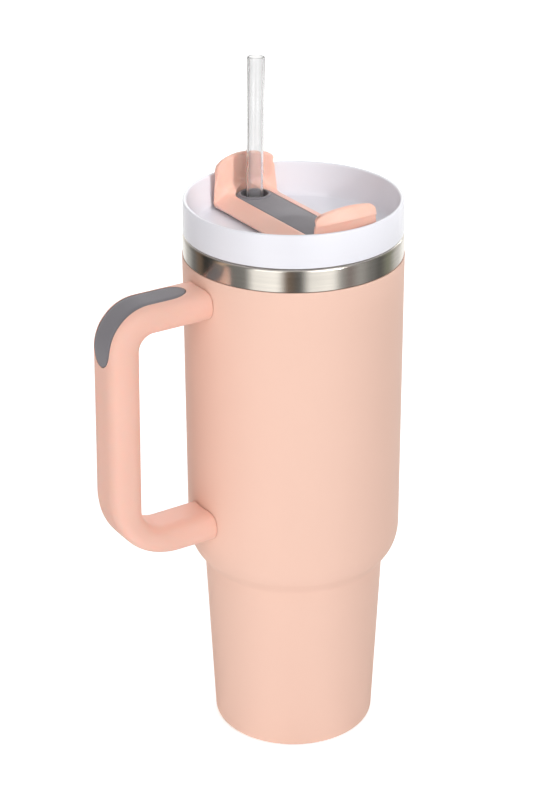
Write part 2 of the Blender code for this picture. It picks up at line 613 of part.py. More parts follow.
def make_cover(mats, parent):
    """Bar with two wings, its soft inlay and its sealing pad."""
    bar_end = WING_RADIUS - 1.0 * MM
    section = [(-BAR_HALF_WIDTH, BAR_BOTTOM), (BAR_HALF_WIDTH, BAR_BOTTOM),
               (BAR_HALF_WIDTH, BAR_BOTTOM + BAR_EDGE), (BAR_TOP_HALF_WIDTH, BAR_TOP),
               (-BAR_TOP_HALF_WIDTH, BAR_TOP), (-BAR_HALF_WIDTH, BAR_BOTTOM + BAR_EDGE)]
    cover = prism("rotary_cover", section, mats["plastic"], -bar_end, bar_end, "Y", parent)
    trim = prism("bar_end_tool", circle(WING_RADIUS - WING_THICKNESS / 2.0, 60), None,
                 BAR_BOTTOM - PAST, BAR_TOP + PAST, parent=parent)
    modify(cover, trim, "INTERSECT")
    wings = turned("wing_tool", wing_profile(), None, parent=parent)
    arch_low = BAR_BOTTOM + WING_HEIGHT - WING_DROP
    arch_radius = (WING_HALF_WIDTH ** 2 + WING_DROP ** 2) / (2.0 * WING_DROP)
    swing = math.asin((WING_HALF_WIDTH - WING_CORNER) / arch_radius)
    crown = arc((0.0, BAR_BOTTOM + WING_HEIGHT - arch_radius), arch_radius, math.pi / 2.0 - swing,
                math.pi / 2.0 + swing, 8)
    arch = [(-WING_HALF_WIDTH, BAR_BOTTOM - PAST), (WING_HALF_WIDTH, BAR_BOTTOM - PAST),
            (WING_HALF_WIDTH, arch_low - WING_CORNER)] + crown + [(-WING_HALF_WIDTH, arch_low - WING_CORNER)]
    gate = prism("wing_gate_tool", arch, None, -BODY_RADIUS - PAST, BODY_RADIUS + PAST, "Y", parent)
    modify(wings, gate, "INTERSECT")
    modify(cover, wings, "UNION")
    boss = prism("boss_tool", circle(BOSS_RADIUS, 24), None, DECK_BOTTOM - TOUCH_GAP,
                 BAR_BOTTOM + 1.5 * MM, parent=parent)
    modify(cover, boss, "UNION")
    inlay_low = BAR_TOP - COVER_INLAY_THICKNESS
    hole = HOLE_RADIUS + GROMMET_WALL + TOUCH_GAP
    front = STRAW_PITCH + HOLE_RADIUS + GROMMET_RING + 0.7 * MM
    outline = inlay_outline(COVER_INLAY_HALF_WIDTH, -COVER_INLAY_BACK, front)
    pocket = prism("inlay_pocket_tool", inlay_outline(COVER_INLAY_HALF_WIDTH + TOUCH_GAP,
                                                      -COVER_INLAY_BACK - TOUCH_GAP, front + TOUCH_GAP),
                   None, inlay_low - TOUCH_GAP, BAR_TOP + PAST, parent=parent)
    modify(cover, pocket, "DIFFERENCE")
    straw_hole = prism("straw_hole_tool", circle(hole, 32, (0.0, STRAW_PITCH)), None,
                       BAR_BOTTOM - PAST, BAR_TOP + PAST, parent=parent)
    modify(cover, straw_hole, "DIFFERENCE")
    screw_hole = prism("pivot_hole_tool", circle(PIVOT_SCREW_RADIUS + TOUCH_GAP, 16), None,
                       DECK_BOTTOM - PAST, BAR_BOTTOM + PIVOT_BITE + RUN_GAP, parent=parent)
    modify(cover, screw_hole, "DIFFERENCE")
    inlay = prism("cover_inlay", outline, mats["soft"], inlay_low, BAR_TOP, parent=parent)
    modify(inlay, straw_hole, "DIFFERENCE")
    make_cover_seal(mats, parent)
    make_grommet(mats, parent)


def inlay_outline(half_width, back, front):
    """Long strip with rounded corners, seen from above."""
    corner = 3.0 * MM
    points = arc((half_width - corner, front - corner), corner, 0.0, math.pi / 2.0, 4)
    points += arc((-half_width + corner, front - corner), corner, math.pi / 2.0, math.pi, 4)
    points += [(-half_width, back), (half_width, back)]
    return points


def make_cover_seal(mats, parent):
    """Sealing pad under the bar, just clear of the deck."""
    half = BAR_HALF_WIDTH - PAD_INSET
    reach = WING_RADIUS - PAD_INSET
    swing = math.asin(half / reach)
    outline = arc((0.0, 0.0), reach, math.pi / 2.0 - swing, math.pi / 2.0 + swing, 8)
    outline += arc((0.0, 0.0), reach, 1.5 * math.pi - swing, 1.5 * math.pi + swing, 8)
    top = BAR_BOTTOM - TOUCH_GAP
    pad = prism("cover_seal_pad", outline, mats["silicone"], top - PAD_SHEET, top, parent=parent)
    for name, radius, centre in (("pad_pivot_tool", BOSS_RADIUS + RUN_GAP, (0.0, 0.0)),
                                 ("pad_straw_tool", STRAW_RADIUS + SLOT_EASE, (0.0, STRAW_PITCH))):
        hole = prism(name, circle(radius, 24, centre), None, top - PAST, top + PAST, parent=parent)
        modify(pad, hole, "DIFFERENCE")


def make_grommet(mats, parent):
    """Soft ring that lines the straw hole: a raised mouth above and a close lip below."""
    outer = HOLE_RADIUS + GROMMET_WALL
    ring = HOLE_RADIUS + GROMMET_RING
    under = BAR_TOP + TOUCH_GAP
    top = BAR_TOP + GROMMET_RISE
    low = BAR_BOTTOM + TOUCH_GAP
    lip = STRAW_RADIUS + STRAW_EASE
    turned("straw_grommet", [(outer, low), (outer, under), (ring, under), (ring - 0.3 * MM, top),
                             (HOLE_RADIUS + 0.2 * MM, top), (HOLE_RADIUS, under),
                             (HOLE_RADIUS, low + 1.4 * MM), (lip, low + 0.8 * MM), (lip, low)],
           mats["soft"], 32, centre=(0.0, STRAW_PITCH), parent=parent)


def make_pivot(mats, parent):
    """Washer and screw that hold the cover's boss in the deck from below."""
    boss_end = DECK_BOTTOM - TOUCH_GAP
    top = boss_end - TOUCH_GAP
    low = top - WASHER_THICKNESS
    bore = PIVOT_SCREW_RADIUS + TOUCH_GAP
    turned("pivot_washer", [(bore, low), (WASHER_RADIUS - 0.3 * MM, low), (WASHER_RADIUS, low + 0.3 * MM),
                            (WASHER_RADIUS, top), (bore, top)], mats["screw"], 32, parent=parent)
    head_top = low - TOUCH_GAP
    head_low = head_top - PIVOT_HEAD_HEIGHT
    tip = BAR_BOTTOM + PIVOT_BITE
    socket_radius = 1.2 * MM
    socket_top = head_low + 0.9 * MM
    turned("pivot_screw", [(0.0, socket_top), (socket_radius, socket_top), (socket_radius, head_low),
                           (PIVOT_HEAD_RADIUS - 0.4 * MM, head_low), (PIVOT_HEAD_RADIUS, head_low + 0.4 * MM),
                           (PIVOT_HEAD_RADIUS, head_top), (PIVOT_SCREW_RADIUS, head_top),
                           (PIVOT_SCREW_RADIUS, tip), (0.0, tip)], mats["screw"], 20, parent=parent)


# ---------------------------------------------------------------- straw

def make_straw(mats, parent):
    """Clear straw that leans from the liner's foot to the hole in the cover."""
    foot_radius = BASE_RADIUS - LINER_INSET - FLOOR_ROUND + STRAW_FOOT_OVERHANG - STRAW_RADIUS
    foot_y = math.sqrt(foot_radius ** 2 - STRAW_FOOT_SIDE ** 2)
    foot = Vector((-STRAW_FOOT_SIDE, foot_y, FLOOR_HEIGHT + STRAW_FLOOR_GAP))
    hole = Vector((0.0, STRAW_PITCH, BAR_TOP))
    along = (hole - foot).normalized()
    length = (STRAW_TOP - foot.z) / along.z
    inner = STRAW_RADIUS - STRAW_WALL
    straw = turned("straw", [(inner, 0.0), (STRAW_RADIUS, 0.0), (STRAW_RADIUS, length), (inner, length)],
                   mats["straw"], SMALL_ROUND, parent=parent)
    straw.location = foot - parent.matrix_world.translation
    straw.rotation_mode = "QUATERNION"
    straw.rotation_quaternion = Vector((0.0, 0.0, 1.0)).rotation_difference(along)


def main():
    """Build the whole tumbler."""
    clear_scene()
    mats = make_materials()
    make_vessel(mats)
    make_handle(mats)
    lid_axis = add_empty("lid_axis", (0.0, 0.0, 0.0))
    cover_axis = add_empty("cover_axis", (0.0, 0.0, 0.0), lid_axis)
    make_lid(mats, lid_axis)
    make_cover(mats, cover_axis)
    make_pivot(mats, cover_axis)
    make_straw(mats, cover_axis)


main()
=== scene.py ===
"""Surfaces, finishes and studio for an insulated tumbler with a push-in lid, a rotary cover and a straw."""
import math
import json

import bmesh
import bpy
import numpy as np
from bpy.props import FloatProperty, FloatVectorProperty, PointerProperty
from bpy.types import Operator, Panel, PropertyGroup
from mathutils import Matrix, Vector


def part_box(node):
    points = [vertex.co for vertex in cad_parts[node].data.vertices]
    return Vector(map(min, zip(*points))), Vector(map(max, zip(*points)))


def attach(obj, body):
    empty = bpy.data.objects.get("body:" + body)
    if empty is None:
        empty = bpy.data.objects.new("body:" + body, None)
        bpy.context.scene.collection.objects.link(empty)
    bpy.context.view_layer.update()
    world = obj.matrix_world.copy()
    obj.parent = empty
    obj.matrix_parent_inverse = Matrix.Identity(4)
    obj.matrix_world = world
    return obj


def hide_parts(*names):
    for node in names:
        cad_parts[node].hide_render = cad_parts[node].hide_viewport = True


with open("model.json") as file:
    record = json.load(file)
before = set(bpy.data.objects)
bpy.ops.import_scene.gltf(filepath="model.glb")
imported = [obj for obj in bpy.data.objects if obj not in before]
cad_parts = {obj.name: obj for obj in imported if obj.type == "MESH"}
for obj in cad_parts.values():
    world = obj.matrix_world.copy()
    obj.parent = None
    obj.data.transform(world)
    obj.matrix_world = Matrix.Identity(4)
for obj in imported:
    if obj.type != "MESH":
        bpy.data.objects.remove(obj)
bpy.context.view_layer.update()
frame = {"nodes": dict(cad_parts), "record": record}

bl_info = {
    "name": "Insulated Tumbler",
    "version": (1, 0, 0),
    "blender": (4, 5, 0),
    "location": "3D View > Sidebar > Tumbler",
    "description": "Builds an insulated tumbler with a straw lid, its finishes and a small studio",
    "category": "Add Mesh",
}

MM = 0.001
SHELL_LOW, SHELL_HIGH = (np.array(corner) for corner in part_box("outer_shell"))
LINER_LOW, LINER_HIGH = (np.array(corner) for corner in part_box("inner_liner"))
PLATE_LOW, PLATE_HIGH = (np.array(corner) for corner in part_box("base_plate"))
HANDLE_LOW, HANDLE_HIGH = (np.array(corner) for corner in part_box("handle_body"))
INLAY_LOW, INLAY_HIGH = (np.array(corner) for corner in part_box("handle_grip_inlay"))
LID_LOW, LID_HIGH = (np.array(corner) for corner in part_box("lid_body"))
SEAL_LOW, SEAL_HIGH = (np.array(corner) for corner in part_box("lid_seal"))
COVER_LOW, COVER_HIGH = (np.array(corner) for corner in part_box("rotary_cover"))
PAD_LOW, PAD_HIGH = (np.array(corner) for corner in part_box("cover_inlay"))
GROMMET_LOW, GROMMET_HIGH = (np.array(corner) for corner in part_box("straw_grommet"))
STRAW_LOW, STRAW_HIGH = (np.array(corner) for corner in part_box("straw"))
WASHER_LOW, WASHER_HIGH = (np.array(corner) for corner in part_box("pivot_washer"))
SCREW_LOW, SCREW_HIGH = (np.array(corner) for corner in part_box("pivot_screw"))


# ---------------------------------------------------------------- settings

def length(label, text, value):
    """A length in metres that a user may change."""
    return FloatProperty(name=label, description=text, default=value, min=0.0, unit="LENGTH", precision=5)


def colour(label, text, value):
    """A colour that a user may change."""
    return FloatVectorProperty(name=label, description=text, default=value, size=3, min=0.0, max=1.0,
                               subtype="COLOR")


class TumblerVesselSizes(PropertyGroup):
    """Sizes of the double-walled vessel."""
    crease_height: length("Crease height", "Floor to the crease under the shoulder", 86.8 * MM)
    crease_radius: length("Crease radius", "Radius of the body at the crease", 41.94 * MM)
    base_radius: length("Base radius", "Radius of the body at its foot", 38.0 * MM)
    shoulder_slope: FloatProperty(name="Shoulder slope", description="Angle of the shoulder from vertical",
                                  default=math.radians(38.0), subtype="ANGLE")
    shoulder_blend: length("Shoulder blend", "How far the shoulder's rounding reaches each way", 8.3 * MM)
    wall: length("Wall", "Thickness of the sheet steel", 0.6 * MM)
    neck_radius: length("Neck radius", "Inside radius of the cup below its lip", 45.5 * MM)
    lip_roll: length("Lip roll", "Rounding of the cup's lip", 1.85 * MM)
    floor_height: length("Floor height", "Height of the cup's inside floor", 9.0 * MM)


class TumblerHandleSizes(PropertyGroup):
    """Sizes of the handle and its soft inlay."""
    grip: length("Grip thickness", "Thickness of the upright part", 15.2 * MM)
    arm: length("Arm thickness", "Thickness of the two arms", 14.0 * MM)
    lean: length("Lean", "How much further out the grip stands at its lower end", 2.5 * MM)
    upper_bend: length("Upper bend", "Outside radius of the upper bend", 20.0 * MM)
    lower_bend: length("Lower bend", "Outside radius of the lower bend", 34.0 * MM)
    upper_inner_bend: length("Upper inner bend", "Inside radius of the upper bend", 6.5 * MM)
    lower_inner_bend: length("Lower inner bend", "Inside radius of the lower bend", 12.0 * MM)
    edge: length("Edge blend", "How far the rounding of each edge reaches", 7.5 * MM)
    gap: length("Body gap", "Gap between the handle's ends and the body", 0.4 * MM)
    inlay_half_width: length("Inlay half width", "Half the width of the soft inlay", 6.5 * MM)
    inlay_tip: length("Inlay tip", "Length over which the inlay narrows to its tips", 11.0 * MM)
    inlay_start: length("Inlay start", "Body to the inlay's upper tip", 7.0 * MM)
    groove: length("Groove", "Gap all round the inlay", 0.32 * MM)


class TumblerLidSizes(PropertyGroup):
    """Sizes of the push-in lid."""
    seat_radius: length("Seat radius", "Outside radius of the rim at the seat", 49.05 * MM)
    rim_radius: length("Rim radius", "Outside radius at the top of the rim", 48.8 * MM)
    rim_width: length("Rim width", "Width of the rim's top", 1.8 * MM)
    rim_height: length("Rim height", "Seat to the top of the rim", 15.0 * MM)
    deck_radius: length("Deck radius", "Radius of the deck", 45.0 * MM)
    deck_depth: length("Deck depth", "Rim to the deck", 15.3 * MM)
    deck_thickness: length("Deck thickness", "Thickness of the deck", 2.0 * MM)
    skirt_radius: length("Skirt radius", "Outside radius of the skirt", 44.3 * MM)
    skirt_wall: length("Skirt wall", "Thickness of the skirt", 2.6 * MM)


class TumblerCoverSizes(PropertyGroup):
    """Sizes of the rotary cover."""
    bar_bottom: length("Bar underside", "Height of the bar's underside", 250.1 * MM)
    bar_top: length("Bar top", "Height of the bar's top", 254.9 * MM)
    bar_half_width: length("Bar half width", "Half the bar's width at its foot", 16.9 * MM)
    ridge_half_width: length("Ridge half width", "Half the width of the bar's flat top", 9.3 * MM)
    wing_radius: length("Wing radius", "Outside radius of the wings below the rim", 44.0 * MM)
    wing_thickness: length("Wing thickness", "Thickness of the wings", 2.6 * MM)
    wing_half_width: length("Wing half width", "Half the width of a wing", 15.9 * MM)
    wing_fillet: length("Wing fillet", "Blend between the bar and the wings", 5.5 * MM)
    wing_sag: length("Wing sag", "How much the wing's top falls to its sides", 3.3 * MM)
    wing_corner: length("Wing corner", "Rounding of the wing's upper corners", 3.6 * MM)
    lip: length("Finger lip", "How far the lip stands out above the rim", 1.7 * MM)
    straw_pitch: length("Straw pitch", "Axis of the cover to the straw hole", 32.3 * MM)
    hole_radius: length("Hole radius", "Radius of the straw hole's mouth", 5.95 * MM)


class TumblerStrawSizes(PropertyGroup):
    """Sizes of the straw."""
    radius: length("Straw radius", "Outside radius", 3.9 * MM)
    wall: length("Straw wall", "Wall thickness", 0.9 * MM)


class TumblerFinishes(PropertyGroup):
    """Colours of the finishes."""
    paint: colour("Powder coat", "Colour of the painted body", (0.90, 0.60, 0.49))
    plastic: colour("Moulded parts", "Colour of the handle and the cover", (0.91, 0.56, 0.46))
    soft: colour("Soft touch", "Colour of the rubbery inlays", (0.205, 0.195, 0.215))
    lid: colour("Milky lid", "Colour of the translucent lid", (0.88, 0.885, 0.93))
    steel: colour("Steel", "Colour of the bare steel", (0.66, 0.62, 0.57))
    straw: colour("Straw", "Tint of the clear straw", (0.93, 0.93, 0.94))


# The lid's two openings: the slot that the straw swings in, and the one to drink from.
COVER_TURN = math.radians(19.0)
SLOT_HALF_WIDTH = 4.6 * MM
DRINK_INNER = 33.0 * MM
DRINK_OUTER = 40.4 * MM
DRINK_ANGLE = math.radians(-70.0)
DRINK_HALF_ANGLE = math.radians(7.5)
DRINK_CORNER = 1.2 * MM


# ---------------------------------------------------------------- surfaces

def soften(corners, reach, steps=6, fill=0):
    """Round the corners of a closed outline, or of a whole stack of outlines.

    Each corner P becomes the curve (1-t)^2 A + 2t(1-t) P + t^2 C, where A and C lie on its two sides at
    the distance reach from P, or at 49% of a side that is too short. fill adds points along each side.
    """
    corners = np.asarray(corners, float)
    reach = np.broadcast_to(np.asarray(reach, float), corners.shape[:-1])[..., None]
    back = np.roll(corners, 1, -2) - corners
    ahead = np.roll(corners, -1, -2) - corners
    back_length = np.linalg.norm(back, axis=-1, keepdims=True)
    ahead_length = np.linalg.norm(ahead, axis=-1, keepdims=True)
    start = corners + back * np.minimum(reach / np.maximum(back_length, 1e-9), 0.49)
    end = corners + ahead * np.minimum(reach / np.maximum(ahead_length, 1e-9), 0.49)
    t = np.linspace(0.0, 1.0, steps)[:, None]
    curve = ((1 - t) ** 2 * start[..., None, :] + 2 * t * (1 - t) * corners[..., None, :]
             + t ** 2 * end[..., None, :])
    if fill:
        u = (np.arange(1, fill + 1) / (fill + 1.0))[:, None]
        after = np.roll(start, -1, -2)
        side = end[..., None, :] + (after - end)[..., None, :] * u
        curve = np.concatenate([curve, side], -2)
    return curve.reshape(*corners.shape[:-2], -1, corners.shape[-1])


def soften_line(corners, reach, steps=6, fill=0):
    """Round the inner corners of an open line; its two ends stay where they are."""
    reach = np.array(reach, float)
    reach[0] = reach[-1] = 0.0
    points = soften(corners, reach, steps, fill)
    return points[steps - 1:len(points) - fill - steps + 1]


def walled(line, thickness):
    """Close a line into a wall: the line, then its copy moved thickness along its left normal, backwards."""
    along = np.gradient(line, axis=0)
    along /= np.maximum(np.linalg.norm(along, axis=1, keepdims=True), 1e-12)
    far = line + np.stack([-along[:, 1], along[:, 0]], 1) * thickness
    far[line[:, 0] < 1e-9, 0] = 0.0
    return np.concatenate([line, far[::-1]])


def arc(centre, radius, start, end, steps):
    """Points centre + radius (cos a, sin a) for angles a from start to end."""
    angle = np.linspace(start, end, steps)
    return np.stack([centre[0] + radius * np.cos(angle), centre[1] + radius * np.sin(angle)], 1)


def smooth(value, low, high):
    """0 below low, 1 above high, and 3t^2 - 2t^3 between."""
    t = np.clip((value - low) / (high - low), 0.0, 1.0)
    return t * t * (3.0 - 2.0 * t)


def revolve(profile, sides=160, centre=(0.0, 0.0)):
    """Turn a profile (r, z) about an upright axis: x = cx + r cos a, y = cy + r sin a."""
    angle = np.linspace(0.0, 2.0 * np.pi, sides, endpoint=False)
    radius = profile[:, 0][:, None]
    height = np.broadcast_to(profile[:, 1][:, None], (len(profile), sides))
    return np.stack([centre[0] + radius * np.cos(angle), centre[1] + radius * np.sin(angle), height], -1)


def upright(outline, low, high):
    """Carry a flat outline (x, y) from low to high, closed at both ends by a point at its middle."""
    middle = np.broadcast_to(outline.mean(0), outline.shape)
    rings = np.stack([middle, outline, outline, middle])
    height = np.array([low, low, high, high])[:, None, None]
    return np.concatenate([rings, np.broadcast_to(height, (*rings.shape[:2], 1))], -1)


def capped(rows):
    """Add a point at the middle of the first and the last row, so that the surface closes."""
    first = np.broadcast_to(rows[0].mean(0), rows[0].shape)
    last = np.broadcast_to(rows[-1].mean(0), rows[-1].shape)
    return np.concatenate([first[None], rows, last[None]])


def make_mesh(name, rows, ring=False):
    """A mesh of quads over a grid of points; its columns close on themselves, and its rows too for a ring."""
    count, columns = rows.shape[:2]
    index = np.arange(count * columns).reshape(count, columns)
    if ring:
        index = np.concatenate([index, index[:1]])
    here = index[:-1]
    above = index[1:]
    quads = np.stack([here, np.roll(here, -1, 1), np.roll(above, -1, 1), above], -1).reshape(-1, 4)
    mesh = bpy.data.meshes.new(name)
    mesh.vertices.add(count * columns)
    mesh.vertices.foreach_set("co", rows.astype(np.float32).ravel())
    mesh.loops.add(quads.size)
    mesh.loops.foreach_set("vertex_index", quads.astype(np.int32).ravel())
    mesh.polygons.add(len(quads))
    mesh.polygons.foreach_set("loop_start", np.arange(0, quads.size, 4, dtype=np.int32))
    mesh.update(calc_edges=True)
    clean = bmesh.new()
    clean.from_mesh(mesh)
    bmesh.ops.remove_doubles(clean, verts=clean.verts, dist=2e-6)
    bmesh.ops.recalc_face_normals(clean, faces=clean.faces)
    clean.to_mesh(mesh)
    clean.free()
    return mesh


def shade(mesh, angle=38.0):
    """Smooth shading with sharp edges where two faces meet at more than angle degrees."""
    mesh.shade_smooth()
    mesh.set_sharp_from_angle(angle=math.radians(angle))


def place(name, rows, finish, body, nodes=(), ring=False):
    """Put a grid of points into the scene as a finished piece that rides on a body."""
    mesh = make_mesh(name, rows, ring)
    shade(mesh)
    mesh.materials.append(finish)
    piece = bpy.data.objects.new(name, mesh)
    bpy.context.scene.collection.objects.link(piece)
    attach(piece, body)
    if nodes:
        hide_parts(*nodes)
    return piece


def carve(piece, *steps):
    """Cut or join grids of points into a piece; each step is (operation, rows, ring)."""
    tools = []
    for operation, rows, ring in steps:
        tool = bpy.data.objects.new("tool", make_mesh("tool", rows, ring))
        bpy.context.scene.collection.objects.link(tool)
        step = piece.modifiers.new(operation.title(), "BOOLEAN")
        step.operation = operation
        step.solver = "EXACT"
        step.object = tool
        tools.append(tool)
    scene_now = bpy.context.evaluated_depsgraph_get()
    mesh = bpy.data.meshes.new_from_object(piece.evaluated_get(scene_now))
    if not mesh.polygons:
        raise RuntimeError(f"{piece.name}: nothing is left after its cuts")
    piece.modifiers.clear()
    piece.data = mesh
    shade(mesh, 30.0)
    for tool in tools:
        bpy.data.objects.remove(tool, do_unlink=True)
    return piece


# ---------------------------------------------------------------- finishes

def add(tree, kind, values=None, **settings):
    """A node of the given kind, with socket values by name and its own settings."""
    item = tree.nodes.new(kind)
    for key, value in settings.items():
        setattr(item, key, value)
    for key, value in (values or {}).items():
        item.inputs[key].default_value = value
    return item


def start_group(name, inputs, outputs):
    """A node group with float and vector inputs, each (name, default), and float outputs."""
    group = bpy.data.node_groups.new(name, "ShaderNodeTree")
    group.interface.new_socket("Coordinates", in_out="INPUT", socket_type="NodeSocketVector")
    for label, value in inputs:
        socket = group.interface.new_socket(label, in_out="INPUT", socket_type="NodeSocketFloat")
        socket.default_value = value
    for label in outputs:
        group.interface.new_socket(label, in_out="OUTPUT", socket_type="NodeSocketFloat")
    return group, group.nodes.new("NodeGroupInput"), group.nodes.new("NodeGroupOutput")


def grain_group():
    """Fine moulded or sprayed grain: two sizes of noise, as a height and as a slow drift of shade."""
    group, given, result = start_group("Fine grain", [("Grain scale", 2500.0), ("Drift scale", 30.0)],
                                       ["Height", "Drift"])
    fine = add(group, "ShaderNodeTexNoise", {"Detail": 3.0, "Roughness": 0.55})
    slow = add(group, "ShaderNodeTexNoise", {"Detail": 2.0, "Roughness": 0.5})
    group.links.new(given.outputs["Coordinates"], fine.inputs["Vector"])
    group.links.new(given.outputs["Coordinates"], slow.inputs["Vector"])
    group.links.new(given.outputs["Grain scale"], fine.inputs["Scale"])
    group.links.new(given.outputs["Drift scale"], slow.inputs["Scale"])
    group.links.new(fine.outputs["Fac"], result.inputs["Height"])
    group.links.new(slow.outputs["Fac"], result.inputs["Drift"])
    return group


def brushing_group():
    """Lines brushed round an upright axis: noise squeezed along Z and stretched across it."""
    group, given, result = start_group("Round brushing", [("Line scale", 6000.0), ("Streak length", 40.0)],
                                       ["Height", "Streaks"])
    apart = add(group, "ShaderNodeSeparateXYZ")
    join = add(group, "ShaderNodeCombineXYZ")
    group.links.new(given.outputs["Coordinates"], apart.inputs[0])
    for axis, scale in (("X", "Streak length"), ("Y", "Streak length"), ("Z", "Line scale")):
        times = add(group, "ShaderNodeMath", operation="MULTIPLY")
        group.links.new(apart.outputs[axis], times.inputs[0])
        group.links.new(given.outputs[scale], times.inputs[1])
        group.links.new(times.outputs[0], join.inputs[axis])
    lines = add(group, "ShaderNodeTexNoise", {"Scale": 1.0, "Detail": 4.0, "Roughness": 0.65})
    group.links.new(join.outputs[0], lines.inputs["Vector"])
    wide = add(group, "ShaderNodeVectorMath", operation="MULTIPLY")
    wide.inputs[1].default_value = (0.6, 0.6, 0.12)
    group.links.new(join.outputs[0], wide.inputs[0])
    streaks = add(group, "ShaderNodeTexNoise", {"Scale": 1.0, "Detail": 2.0})
    group.links.new(wide.outputs[0], streaks.inputs["Vector"])
    group.links.new(lines.outputs["Fac"], result.inputs["Height"])
    group.links.new(streaks.outputs["Fac"], result.inputs["Streaks"])
    return group


def start_finish(name, **values):
    """A material whose Principled sockets hold the given constants, and its Object coordinates."""
    finish = bpy.data.materials.new(name)
    finish.use_nodes = True
    tree = finish.node_tree
    shader = tree.nodes["Principled BSDF"]
    for key, value in values.items():
        shader.inputs[key.replace("_", " ")].default_value = value
    where = tree.nodes.new("ShaderNodeTexCoord")
    return finish, tree, shader, where


def use_group(tree, group, where, **values):
    """Place a shared group in a material with its own values."""
    item = tree.nodes.new("ShaderNodeGroup")
    item.node_tree = group
    tree.links.new(where.outputs["Object"], item.inputs["Coordinates"])
    for key, value in values.items():
        item.inputs[key.replace("_", " ")].default_value = value
    return item


def mix_colour(tree, factor, first, second):
    """Blend two colours by a value that changes over the surface."""
    item = add(tree, "ShaderNodeMix", data_type="RGBA")
    tree.links.new(factor, item.inputs["Factor"])
    item.inputs["A"].default_value = (*first, 1.0)
    item.inputs["B"].default_value = (*second, 1.0)
    return item.outputs["Result"]


def spread(tree, value, low, high, start=0.3, end=0.7):
    """Map a value from start..end to low..high."""
    item = add(tree, "ShaderNodeMapRange",
               {"From Min": start, "From Max": end, "To Min": low, "To Max": high})
    tree.links.new(value, item.inputs["Value"])
    return item.outputs["Result"]


def bump(tree, shader, height, strength, distance):
    """Feed a height into the shader's normal."""
    item = add(tree, "ShaderNodeBump", {"Strength": strength, "Distance": distance})
    tree.links.new(height, item.inputs["Height"])
    tree.links.new(item.outputs["Normal"], shader.inputs["Normal"])
    return item


def tinted(base, factor):
    """A colour made lighter or darker, kept within range."""
    return tuple(min(1.0, max(0.0, channel * factor)) for channel in base)


def powder_coat(base):
    """Matte sprayed coat: fine orange peel, and a slow drift of shade and gloss."""
    finish, tree, shader, where = start_finish("powder_coat", Roughness=0.5, Specular_IOR_Level=0.35)
    grain = use_group(tree, bpy.data.node_groups["Fine grain"], where, Grain_scale=2300.0, Drift_scale=22.0)
    tree.links.new(mix_colour(tree, grain.outputs["Drift"], tinted(base, 0.985), tinted(base, 1.015)),
                   shader.inputs["Base Color"])
    tree.links.new(spread(tree, grain.outputs["Height"], 0.46, 0.58), shader.inputs["Roughness"])
    bump(tree, shader, grain.outputs["Height"], 0.10, 0.0002)
    return finish


def moulded_plastic(base):
    """Moulded peach plastic with a fine spark-eroded grain."""
    finish, tree, shader, where = start_finish("moulded_plastic", Roughness=0.42, Specular_IOR_Level=0.4,
                                               Subsurface_Weight=0.4,
                                               Subsurface_Radius=(0.005, 0.002, 0.0015))
    grain = use_group(tree, bpy.data.node_groups["Fine grain"], where, Grain_scale=4200.0, Drift_scale=45.0)
    tree.links.new(mix_colour(tree, grain.outputs["Drift"], tinted(base, 0.98), tinted(base, 1.02)),
                   shader.inputs["Base Color"])
    tree.links.new(spread(tree, grain.outputs["Height"], 0.38, 0.48), shader.inputs["Roughness"])
    bump(tree, shader, grain.outputs["Height"], 0.08, 0.0001)
    return finish


def soft_touch(base):
    """Grey rubbery skin: dull, finely pebbled, a little paler where it is thin on its rises."""
    finish, tree, shader, where = start_finish("soft_touch", Roughness=0.7, Specular_IOR_Level=0.3,
                                               Sheen_Weight=0.25, Sheen_Roughness=0.5)
    grain = use_group(tree, bpy.data.node_groups["Fine grain"], where, Grain_scale=5200.0, Drift_scale=70.0)
    tree.links.new(mix_colour(tree, grain.outputs["Height"], tinted(base, 0.88), tinted(base, 1.12)),
                   shader.inputs["Base Color"])
    tree.links.new(spread(tree, grain.outputs["Drift"], 0.62, 0.78), shader.inputs["Roughness"])
    bump(tree, shader, grain.outputs["Height"], 0.22, 0.00012)
    return finish


def milky_plastic(base):
    """Milky translucent plastic: light passes through it and scatters in it; its colour is painted darker
    from just under the rim down to the deck, as painted shade.
    """
    finish, tree, shader, where = start_finish("milky_plastic", Roughness=0.3, IOR=1.49,
                                               Transmission_Weight=0.85, Subsurface_Weight=0.5,
                                               Subsurface_Radius=(0.008, 0.008, 0.009))
    grain = use_group(tree, bpy.data.node_groups["Fine grain"], where, Grain_scale=900.0, Drift_scale=28.0)
    apart = add(tree, "ShaderNodeSeparateXYZ")
    tree.links.new(where.outputs["Object"], apart.inputs[0])
    # Painted shade: the deck and the lower wall get 0.6 of the rim's colour, fading up to the full colour 3
    # mm under the rim.
    painted_deck_shade_fade = spread(tree, apart.outputs["Z"], 0.0, 1.0, LID_HIGH[2] - 16.0 * MM, LID_HIGH[2] - 3.0 * MM)
    blend = add(tree, "ShaderNodeMix", data_type="RGBA")
    tree.links.new(painted_deck_shade_fade, blend.inputs["Factor"])
    tree.links.new(mix_colour(tree, grain.outputs["Drift"], tinted(base, 0.60), tinted(base, 0.63)),
                   blend.inputs["A"])
    tree.links.new(mix_colour(tree, grain.outputs["Drift"], tinted(base, 0.985), tinted(base, 1.015)),
                   blend.inputs["B"])
    tree.links.new(blend.outputs["Result"], shader.inputs["Base Color"])
    tree.links.new(spread(tree, grain.outputs["Height"], 0.24, 0.34), shader.inputs["Roughness"])
    bump(tree, shader, grain.outputs["Height"], 0.03, 0.0001)
    return finish


